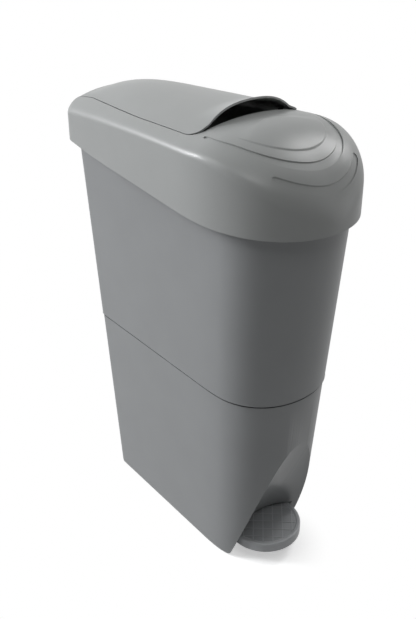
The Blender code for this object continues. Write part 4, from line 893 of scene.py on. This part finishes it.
    def close_top(self, hood: Object) -> None:
        """Close the inmost ring with strips across it, as the dome's crown."""
        form = bmesh.new()
        form.from_mesh(hood.data)
        form.verts.ensure_lookup_table()
        count = len(self.outline())
        ring = [form.verts[index] for index in range(len(form.verts) - count, len(form.verts))]
        middle = count // 2
        form.faces.new((ring[0], ring[1], ring[-1]))
        for index in range(1, middle - 1):
            form.faces.new((ring[index], ring[index + 1],
                            ring[count - index - 1], ring[count - index]))
        form.faces.new((ring[middle - 1], ring[middle], ring[middle + 1]))
        bmesh.ops.recalc_face_normals(form, faces=form.faces)
        form.to_mesh(hood.data)
        form.free()

    def on_nose(self, station: float, side: float, share: float) -> Flat:
        """Return a ring's point at a share of the nose's turn, or a way behind it if negative."""
        plan = self.plan()
        if station < 0.0:
            place = plan.start - station
            return side * plan.width_at(place) * share, place
        angle = (1.0 - station) * QUARTER
        size = (cos(angle) ** plan.power + sin(angle) ** plan.power) ** (-1.0 / plan.power)
        return (side * plan.half_width * share * size * sin(angle),
                plan.start - plan.nose * share * size * cos(angle))

    def groove(self, stations: Sequence[float], section: Callable[[float], Flat]) -> Object:
        """Return the cutter of a groove that runs round the nose with round ends.

        Args:
            stations: places from one side to the tip of the nose, as on_nose takes them.
            section: gives the groove's inner and outer edge at a turn.

        Returns:
            The cutter.
        """
        path = [(place, -1.0) for place in stations]
        path += [(place, 1.0) for place in reversed(stations[:-1])]
        deep, high = self.groove_depth, self.groove_depth * 3.0
        rings: List[Ring] = []
        for index, (station, side) in enumerate(path):
            end = min(index, len(path) - 1 - index, len(self.groove_ends) - 1)
            inner, outer = section(max(station, 0.0))
            half = (outer - inner) / 2.0 * self.groove_ends[end]
            near, far = (self.on_nose(station, side, share)
                         for share in around((inner + outer) / 2.0, half))
            rings.append([(*near, self.top(*near) - deep), (*far, self.top(*far) - deep),
                          (*far, self.top(*far) + high), (*near, self.top(*near) + high)])
        return ring_loft("groove", rings)

    def grooves(self) -> List[Object]:
        """Return the cutters of the upper groove, which narrows behind the nose, and the lower."""
        def run(start: float, pitch: float, count: int) -> List[float]:
            return [start + pitch * number for number in range(count)] + [1.0]

        upper = [-self.groove_tail * share for share in self.tail_shares] + run(*self.upper_run)
        lower = [*self.lower_end] + run(*self.lower_run)
        inner, outer = self.upper_groove
        return [self.groove(upper, lambda turn: (
                    inner + self.upper_narrow * (1.0 - ease(turn / self.upper_fade)), outer)),
                self.groove(lower, lambda turn: self.lower_groove)]

    def hanging(self, sides: Flat, places: Flat, low: float, top: Surface, sink: float) -> Object:
        """Return a block that hangs from a curved surface.

        Args:
            sides: its left and right ends.
            places: its front and back ends.
            low: the height of its underside.
            top: gives the surface's height at a point.
            sink: how far below the surface its top stays.

        Returns:
            The block.
        """
        (left, right), (front, back) = sides, places
        corners = [(left, front), (right, front), (right, back), (left, back)]
        return ring_loft("block", [[(x, y, low) for x, y in corners],
                                   [(x, y, top(x, y) - sink) for x, y in corners]])

    def lug(self, side: float, inner: float, wall: float, top: Surface) -> Object:
        """Return a lug or a knuckle of the flap's hinge, which hangs from a surface."""
        place, height = self.hinge
        return self.hanging(span(side, inner, inner + wall), around(place, self.block_half),
                            height - self.block_half, top, self.wall / 2.0)

    def bore(self, reach: float) -> Object:
        """Return the cutter of the hinge's bore."""
        return bar_between("bore", (-reach, *self.hinge), (reach, *self.hinge), self.bore_radius)

    @property
    def lug_x(self) -> float:
        """Return how far out the hinge lugs stand."""
        return self.seam(self.hinge[0]) + self.lug_gap

    @property
    def rest_x(self) -> float:
        """Return how far out the flap rests begin."""
        return self.seam(self.rest_y) - self.rest_inset

    def rest_top(self, across: float, place: float) -> float:
        """Return the top of a flap rest."""
        outer = self.rest_x + self.rest_length
        low = self.top(outer, self.rest_y) - self.rest_sink
        high = self.top(outer, place) - self.wall / 2.0
        return mix(low, high, clamp((abs(across) - self.rest_x) / self.rest_length))

    def ribs(self, tub: Tub) -> List[Object]:
        """Return the ribs inside the hood that stand on the liner ring."""
        def ring_top(place: float) -> float:
            return tub.rim + self.rake * place + self.ring_rise

        def rim(place: float) -> Plan:
            return tub.plan(ring_top(place), tub.step_depth)

        found = []
        half, inset = self.rib_half, self.rib_inset
        for share in self.rib_shares:
            place = share * self.back
            outside = self.plan().width_at(place) - self.wall / 2.0
            inside = rim(place).width_at(place) - inset
            low = ring_top(place + half) + SEAT_GAP
            for side in SIDES:
                left, right = span(side, inside, outside)
                found.append(box_between("side_rib", (left, place - half, low),
                                         (right, place + half, low + self.rib_tall)))
        low = ring_top(self.back) + SEAT_GAP
        inside = rim(self.back).back - inset
        for side in SIDES:
            left, right = around(side * self.back_rib_x, half)
            end = (right, self.back - self.wall / 2.0, low + self.back_rib_tall)
            found.append(box_between("back_rib", (left, inside, low), end))
        front = rim(self.front).front
        found.append(self.hanging(around(0.0, half), around(front, inset),
                                  ring_top(front + inset) + SEAT_GAP, self.top, self.wall / 2.0))
        return found

    def fittings(self) -> List[Object]:
        """Return the hinge lugs and the flap rests."""
        found = []
        outer = self.rest_x + self.rest_length
        low = self.top(outer, self.rest_y) - self.rest_drop
        for side in SIDES:
            found.append(self.lug(side, self.lug_x, self.lug_wall, self.top))
            sides, places = span(side, self.rest_x, outer), around(self.rest_y, self.block_half)
            found.append(self.hanging(sides, places, low, self.rest_top, 0.0))
        return found

    def add_bosses(self, hood: Object, place: float) -> None:
        """Add the shield's bosses with their pilot holes under the hood."""
        for side in SIDES:
            spot = (side * self.boss_x, place)
            roof = self.top(*spot)
            under = roof - self.wall * 1.15 - self.boss_drop
            boss = bar_between("boss", (*spot, under + self.boss_tall),
                               (*spot, roof - self.wall / 2.0), self.boss_radius)
            combine(hood, [boss], Deed.JOIN)
            combine(hood, [pilot(*((*spot, under + end) for end in self.boss_pilot))], Deed.CUT)

    def build(self, material: Material, flap: "Flap", tub: Tub) -> Object:
        """Build and dress the hood.

        Args:
            material: the moulded finish.
            flap: the flap, whose outline gives the opening.
            tub: the tub, on whose ring the ribs stand.

        Returns:
            The finished piece.
        """
        hood = ring_loft("hood_moulding", self.rings(), closed=False)
        self.close_top(hood)
        thicken(hood, self.wall)
        combine(hood, self.grooves() + [flap.opening()], Deed.CUT)
        combine(hood, self.ribs(tub) + self.fittings(), Deed.JOIN)
        combine(hood, [self.bore(self.lug_x + self.lug_wall + self.bore_over)], Deed.CUT)
        self.add_bosses(hood, flap.front - self.boss_setback)
        round_edges(hood, self.edge_round, radians(45.0))
        shade(hood, radians(30.0))
        return finish_piece(hood, material, Body.HOOD, ("hood_cover",))


@dataclass
class Flap:
    """The crowned flap, with the raised arch of its front edge."""

    hood: Hood
    front: float = -0.0660
    back: float = 0.2005
    gap: float = 0.0009
    corner_length: float = 0.0180
    corner_width: float = 0.0130
    wall: float = 0.0022
    crown: float = 0.0214
    crown_power: float = 2.18
    crown_peak: float = 0.506
    crown_loss: float = 0.0182
    loss_power: float = 3.05
    lip: float = 0.0072
    lip_length: float = 0.0350
    arch_inset: float = 0.0230
    back_round: float = 0.0140
    back_fall: float = 0.60
    back_steps: int = 8
    back_foot: float = 0.5512
    front_shares: Shares = (
        0.0, 0.015, 0.05, 0.11, 0.2, 0.31, 0.45, 0.62, 0.8, 1.0, 1.2, 1.45, 1.7)
    rows: int = 22
    columns: int = 48
    opening_over: float = 0.0200
    opening_tall: float = 0.0400
    knuckle_inset: float = 0.0080
    knuckle_wall: float = 0.0040
    bore_over: float = 0.0100
    nose_y: float = 0.16656
    seat_low: float = 0.573516
    seat_half: float = 0.0130
    seat_y: Flat = (-0.0210, 0.0060)
    seat_pilot_x: float = 0.0085
    seat_pilot_y: float = -0.0125
    seat_pilot_z: Flat = (-0.0050, 0.0043)
    edge_round: float = 0.0006

    def half_width(self, place: float) -> float:
        """Return the half width, rounded in at the front corners."""
        width = self.hood.seam(place) - self.gap
        share = clamp((self.front + self.corner_length - place) / self.corner_length)
        return width - self.corner_width * (1.0 - sqrt(1.0 - share * share))

    def top(self, across: float, place: float) -> float:
        """Return the height of the upper surface."""
        edge = self.hood.seam(place)
        peak = mix(self.hood.front + self.hood.nose, self.back, self.crown_peak)
        fall = clamp((place - peak) / (self.back - peak))
        crown = self.crown - self.crown_loss * fall ** self.loss_power
        near = clamp(1.0 - (place - self.front) / self.lip_length)
        arch = self.hood.seam(self.front) - self.arch_inset
        lip = clamp(1.0 - (across / arch) ** 4)
        rise = crown * (1.0 - clamp(abs(across) / edge) ** self.crown_power)
        return self.hood.top(edge, place) + rise + self.lip * lip * near * near

    def places(self) -> List[float]:
        """Return the places along the flap at which its section is drawn."""
        found = [self.front + self.corner_length * share for share in self.front_shares]
        first, last = found[-1], self.back - self.back_round
        return found + [mix(first, last, step / self.rows) for step in range(1, self.rows + 1)]

    def opening(self) -> Object:
        """Return the cutter of the flap's opening in the hood."""
        half: List[Flat] = []
        for index, place in enumerate(self.places()):
            shift = 0.0 if index else self.gap
            half.append((self.half_width(place) + self.gap, place - shift))
        back = self.hood.back
        half.append((self.half_width(back) + self.gap, back + self.opening_over))
        outline = half + [(-x, y) for x, y in reversed(half)]
        heights = (self.hood.notch, self.hood.dome + self.opening_tall)
        return ring_loft("opening", [[(x, y, height) for x, y in outline] for height in heights])

    def across(self, width: float) -> List[float]:
        """Return places across the flap, closer at its edges."""
        return [-width * cos(pi * column / self.columns) for column in range(self.columns + 1)]

    def points(self) -> List[Point]:
        """Return the upper surface's points: row after row, and then over the back's rounding."""
        found: List[Point] = []
        for place in self.places():
            found += [(x, place, self.top(x, place)) for x in self.across(self.half_width(place))]
        spread = self.across(self.half_width(self.hood.back))
        last = self.places()[-1]
        for number in range(1, self.back_steps + 1):
            angle = number / self.back_steps * QUARTER
            place = last + self.back_round * sin(angle)
            fall = self.back_round * self.back_fall * (1.0 - cos(angle))
            found += [(x, place, self.top(x, last) - fall) for x in spread]
        return found + [(x, self.back, self.back_foot) for x in spread]

    def build(self, material: Material) -> Object:
        """Build and dress the flap.

        Args:
            material: the moulded finish.

        Returns:
            The finished piece.
        """
        points = self.points()
        bpy.ops.mesh.primitive_grid_add(x_subdivisions=self.columns, size=1.0,
                                        y_subdivisions=len(points) // (self.columns + 1) - 1)
        flap = newest("flap_moulding")
        for vertex, point in zip(flap.data.vertices, points):
            vertex.co = point
        make_active(flap)
        bpy.ops.object.mode_set(mode="EDIT")
        face_outwards()
        thicken(flap, self.wall)
        hood, nose, low = self.hood, self.nose_y, self.seat_low
        inner = hood.seam(hood.hinge[0]) - self.gap - self.knuckle_inset
        blocks = [hood.lug(side, inner, self.knuckle_wall, self.top) for side in SIDES]
        blocks.append(hood.hanging(around(0.0, self.seat_half),
                                   (nose + self.seat_y[0], nose + self.seat_y[1]),
                                   low, self.top, self.wall / 3.0))
        combine(flap, blocks, Deed.JOIN)
        holes = [hood.bore(inner + self.knuckle_wall + self.bore_over)]
        for side in SIDES:
            holes.append(pilot(*((side * self.seat_pilot_x, nose + self.seat_pilot_y, low + end)
                                 for end in self.seat_pilot_z)))
        combine(flap, holes, Deed.CUT)
        round_edges(flap, self.edge_round, radians(50.0))
        shade(flap)
        return finish_piece(flap, material, Body.FLAP, ("flap_lid",))


@dataclass
class Tread:
    """The round pedal tread with its rim and its crossed ridges."""

    radius: float = 0.0501
    place: float = -0.1110
    underside: float = 0.0193
    top: float = 0.0333
    rim: float = 0.0046
    sink: float = 0.0015
    skirt: float = 0.0025
    plate: float = 0.0030
    edge_round: float = 0.0020
    edge_steps: int = 6
    fine: float = 0.0004
    slot_half: float = 0.0126
    slot_top: float = 0.0268
    boss_y: float = 0.0133
    boss_low: float = 0.0265
    boss_sink: float = 0.0015
    boss_radius: float = 0.0085
    pilot_z: Flat = (0.0200, 0.0302)
    overrun: float = 0.0200
    ridge_width: float = 0.0013
    ridge_height: float = 0.0006
    ridge_sink: float = 0.0008
    ridge_count: int = 4
    ridge_sets: Tuple[Point, ...] = ((45.0, 0.0133, 0.0015), (-45.0, 0.0150, -0.0037))
    disc_half: float = 0.0020
    steps: int = 96

    @property
    def middle(self) -> Vector:
        """Return the tread's middle on the floor."""
        return Vector((0.0, self.place, 0.0))

    def ring(self, radius: float, height: float) -> Ring:
        """Return a circle at a height."""
        angles = [2.0 * pi * step / self.steps for step in range(self.steps)]
        return [(radius * cos(angle), self.place + radius * sin(angle), height) for angle in angles]

    def profile(self, floor: float) -> List[Flat]:
        """Return the section's radii and heights, from the floor over the rim to the underside."""
        inner, fine, soft = self.radius - self.rim, self.fine, self.edge_round
        found = [(inner - self.sink - 0.001, floor), (inner - self.sink, floor + fine / 2.0),
                 (inner - fine, self.top - fine), (inner + fine / 2.0, self.top)]
        for step in range(self.edge_steps + 1):
            angle = step / self.edge_steps * QUARTER
            found.append((self.radius - soft + soft * sin(angle),
                          self.top - soft + soft * cos(angle)))
        under = self.radius - self.skirt
        return found + [(self.radius, self.underside + fine), (self.radius - fine, self.underside),
                        (under, self.underside), (under, floor - self.plate)]

    def ridges(self, floor: float) -> Object:
        """Return the crossed ridges as one body, trimmed to the sunk floor."""
        inner = self.radius - self.rim - self.sink
        half, reach = self.ridge_width / 2.0, inner * 1.1
        bars: List[Object] = []
        for turn, pitch, shift in self.ridge_sets:
            way = Matrix.Translation(self.middle) @ Matrix.Rotation(radians(turn), 4, "Z")
            for number in range(-self.ridge_count, self.ridge_count + 1):
                offset = shift + pitch * number
                if abs(offset) <= inner - self.ridge_width * 2.0:
                    bar = box_between("ridge", (-reach, offset - half, floor - self.ridge_sink),
                                      (reach, offset + half, floor + self.ridge_height))
                    bar.data.transform(way)
                    bars.append(bar)
        grid = bars[0]
        combine(grid, bars[1:], Deed.JOIN)
        low, high = around(floor, self.disc_half)
        disc = bar_between("disc", (0.0, self.place, low), (0.0, self.place, high),
                           inner - self.fine, self.steps)
        combine(grid, [disc], Deed.KEEP)
        return grid

    def build(self, material: Material, etched: Material) -> Object:
        """Build and dress the tread.

        Args:
            material: the tread's tone, a lighter copy of the plastic: painted light on the tread.
            etched: the finish of the sunk floor between the ridges: a rougher etched grain on a
                lighter copy of the plastic, painted light.

        Returns:
            The finished piece.
        """
        floor = self.top - self.sink
        tread = ring_loft("tread_moulding", [self.ring(*point) for point in self.profile(floor)])
        back = self.place + self.radius
        slot = box_between("slot", (-self.slot_half, self.place + self.radius / 2.0, -self.overrun),
                           (self.slot_half, back + self.overrun, self.slot_top))
        combine(tread, [slot], Deed.CUT)
        spots = [(0.0, self.place + side * self.boss_y) for side in SIDES]
        roof = floor - self.plate + self.boss_sink
        combine(tread, [bar_between("boss", (*spot, self.boss_low), (*spot, roof), self.boss_radius)
                        for spot in spots], Deed.JOIN)
        combine(tread, [pilot(*((*spot, end) for end in self.pilot_z)) for spot in spots], Deed.CUT)
        combine(tread, [self.ridges(floor)], Deed.JOIN)
        shade(tread, radians(30.0))
        finish_piece(tread, material, Body.PEDAL, ("pedal_tread",))
        # The sunk floor takes the etched tone: a rougher grain, lightened like the tread's tone as
        # painted light.
        paint(tread, etched, lambda face: (
            abs(face.center.z - floor) < self.fine / 4.0 and face.normal.z > 0.9
            and (face.center - self.middle).to_2d().length < self.radius - self.rim))
        return tread


@dataclass(frozen=True)
class Lamp:
    """One soft area lamp, with its place, size in metres, power in watts and sRGB colour."""

    name: str
    place: Point
    size: Flat
    power: float
    colour: str = WHITE

    def build(self, aim: Point) -> None:
        """Set up the lamp so that it faces a point."""
        data = bpy.data.lights.new(self.name, "AREA")
        data.shape = "RECTANGLE"
        data.size, data.size_y = self.size
        data.energy = self.power
        data.color = linear(self.colour)[:3]
        item = bpy.data.objects.new(self.name, data)
        bpy.context.scene.collection.objects.link(item)
        item.location = self.place
        item.rotation_euler = (Vector(aim) - Vector(self.place)).to_track_quat("-Z", "Y").to_euler()


@dataclass
class Studio:
    """The floor, the backdrop, the lamps and the camera."""

    camera_place: Point = (-0.6399, -0.7089, 0.8150)
    azimuth: float = -0.7302
    elevation: float = 0.48
    lens: float = 47.46
    sensor: float = 36.0
    floor_size: float = 12.0
    floor_paint: str = "#BEBEBE"
    floor_seen: str = "#F4F4F4"
    floor_glow: float = 0.47
    shadow_place: Point = (0.01, 0.12, 0.0)
    shadow_reach: Flat = (0.03, 0.095)
    sheen: float = 0.85
    floor_sheen: float = 0.65
    fill_colour: str = "#F2F4F6"
    fill: float = 0.01
    aim: Point = (0.0, -0.02, 0.35)
    lamps: Tuple[Lamp, ...] = (
        Lamp("key", (-2.4, 2.4, 2.6), (1.3, 1.3), 70.0, "#FDFDFF"),
        Lamp("low_key", (-2.3, 2.7, 1.7), (1.4, 1.4), 72.0, "#FCFCFF"),
        Lamp("high", (-2.0, 0.8, 3.6), (1.8, 1.8), 24.0, "#FBFFFE"),
        Lamp("right", (2.2, -0.5, 3.0), (1.6, 1.6), 12.0),
        Lamp("low", (1.2, -1.0, 0.35), (0.4, 0.8), 1.0),
        Lamp("edge", (2.2, -0.1, 2.1), (0.8, 1.4), 18.0),
        Lamp("front", (-0.8, -1.6, 3.2), (1.2, 1.2), 14.0))

    def camera(self) -> None:
        """Set up the camera at the photograph's viewing angle."""
        data = bpy.data.cameras.new("camera")
        data.lens = self.lens
        data.sensor_width = self.sensor
        data.sensor_fit = "AUTO"
        data.clip_start = 0.01
        item = bpy.data.objects.new("camera", data)
        bpy.context.scene.collection.objects.link(item)
        item.location = self.camera_place
        item.rotation_euler = (QUARTER - self.elevation, 0.0, self.azimuth)
        bpy.context.scene.camera = item

    def glow(self, tree: NodeTree, kind: str, strength: float, colour: str = WHITE) -> Socket:
        """Add a shader that gives light, an emission or a background, and return its output."""
        return add_node(tree, kind, {"Color": linear(colour), "Strength": strength}).outputs[0]

    def blend(self, tree: NodeTree, share: Socket, first: Socket,
              second: Socket) -> Socket:
        """Go from the first shader to the second one by a share."""
        return add_node(tree, "ShaderNodeMixShader", {}, {0: share, 1: first, 2: second}).outputs[0]

    def by_ray(self, tree: NodeTree, kind: str, plain: Socket, glint: Socket,
               seen: Socket) -> None:
        """Choose a shader by the kind of ray that meets it, and send it to the output.

        Args:
            tree: the node tree.
            kind: the output node's type name.
            plain: the shader for most rays.
            glint: the shader for rays off a gloss.
            seen: the shader for rays from the camera.
        """
        path = add_node(tree, "ShaderNodeLightPath").outputs
        first = self.blend(tree, path["Is Glossy Ray"], plain, glint)
        last = self.blend(tree, path["Is Camera Ray"], first, seen)
        add_node(tree, kind, {}, {"Surface": last})

    def floor(self) -> None:
        """Set up the pale floor: white to the camera but for the soft shadow round the object."""
        bpy.ops.mesh.primitive_plane_add(size=self.floor_size, location=(0.0, 0.0, 0.0))
        item = newest("studio_floor")
        material = bpy.data.materials.new("studio_floor_paint")
        material.use_nodes = True
        tree = material.node_tree
        tree.nodes.clear()
        # The lit paint shows only near the object, where it carries the soft shadow.
        place = add_node(tree, "ShaderNodeTexCoord").outputs["Object"]
        middle = add_node(tree, "ShaderNodeMapping", {"Location": self.shadow_place},
                          {"Vector": place}).outputs["Vector"]
        reach = add_node(tree, "ShaderNodeVectorMath", {"operation": "LENGTH"},
                         {"Vector": middle}).outputs["Value"]
        near, far = self.shadow_reach
        away = add_node(tree, "ShaderNodeMapRange", {
            "From Min": near, "From Max": far, "interpolation_type": "SMOOTHSTEP"},
            {"Value": reach}).outputs["Result"]
        paint_shader, shown = (
            add_node(tree, "ShaderNodeBsdfDiffuse", {"Color": linear(colour)}).outputs[0]
            for colour in (self.floor_paint, self.floor_seen))
        glow = self.glow(tree, "ShaderNodeEmission", self.floor_glow)
        lit = add_node(tree, "ShaderNodeAddShader", {}, {0: shown, 1: glow}).outputs[0]
        white = self.glow(tree, "ShaderNodeEmission", 1.0)
        glint = self.glow(tree, "ShaderNodeEmission", self.floor_sheen)
        self.by_ray(tree, "ShaderNodeOutputMaterial", paint_shader, glint,
                    self.blend(tree, away, lit, white))
        item.data.materials.append(material)

    def world(self) -> None:
        """Set up a white backdrop for the camera and a soft grey light for the rest."""
        world = bpy.data.worlds.new("studio_world")
        bpy.context.scene.world = world
        world.use_nodes = True
        tree = world.node_tree
        tree.nodes.clear()
        soft = self.glow(tree, "ShaderNodeBackground", self.fill, self.fill_colour)
        glint = self.glow(tree, "ShaderNodeBackground", self.sheen)
        white = self.glow(tree, "ShaderNodeBackground", 1.0)
        self.by_ray(tree, "ShaderNodeOutputWorld", soft, glint, white)

    def build(self) -> None:
        """Set up the whole studio."""
        self.camera()
        self.floor()
        self.world()
        for lamp in self.lamps:
            lamp.build(self.aim)
        bpy.context.scene.view_settings.view_transform = "Standard"


def dress_nodes(finishes: Finishes) -> None:
    """Give every node of the frame its finish."""
    slots = {row["node"]: row["material_slot"] for row in frame["record"]["subparts"]}
    for name, node in frame["nodes"].items():
        material = finishes.of_slot[Slot(slots[name])]
        node.data.materials.clear()
        node.data.materials.append(material)
        LOG.info("%s is finished in %s", name, material.name)


def main() -> None:
    """Set up the studio, dress the frame's nodes and build each moulding in order."""
    logging.basicConfig(level=logging.INFO, format="%(message)s")
    Studio().build()
    finishes = Finishes()
    dress_nodes(finishes)
    tub = Tub()
    hood = Hood()
    flap = Flap(hood)
    plastic = finishes.plastic
    # The tub's groove under the step gets the darker tone as painted shade.
    tub.build(plastic[""], plastic["_groove_painted_shade"])
    hood.build(plastic["_hood"], flap, tub)
    flap.build(plastic["_hood"])
    # The tread's tones are lightened copies of the plastic: painted light.
    Tread().build(plastic["_tread"], plastic["_etched_painted_light"])


if __name__ == "__main__":
    main()
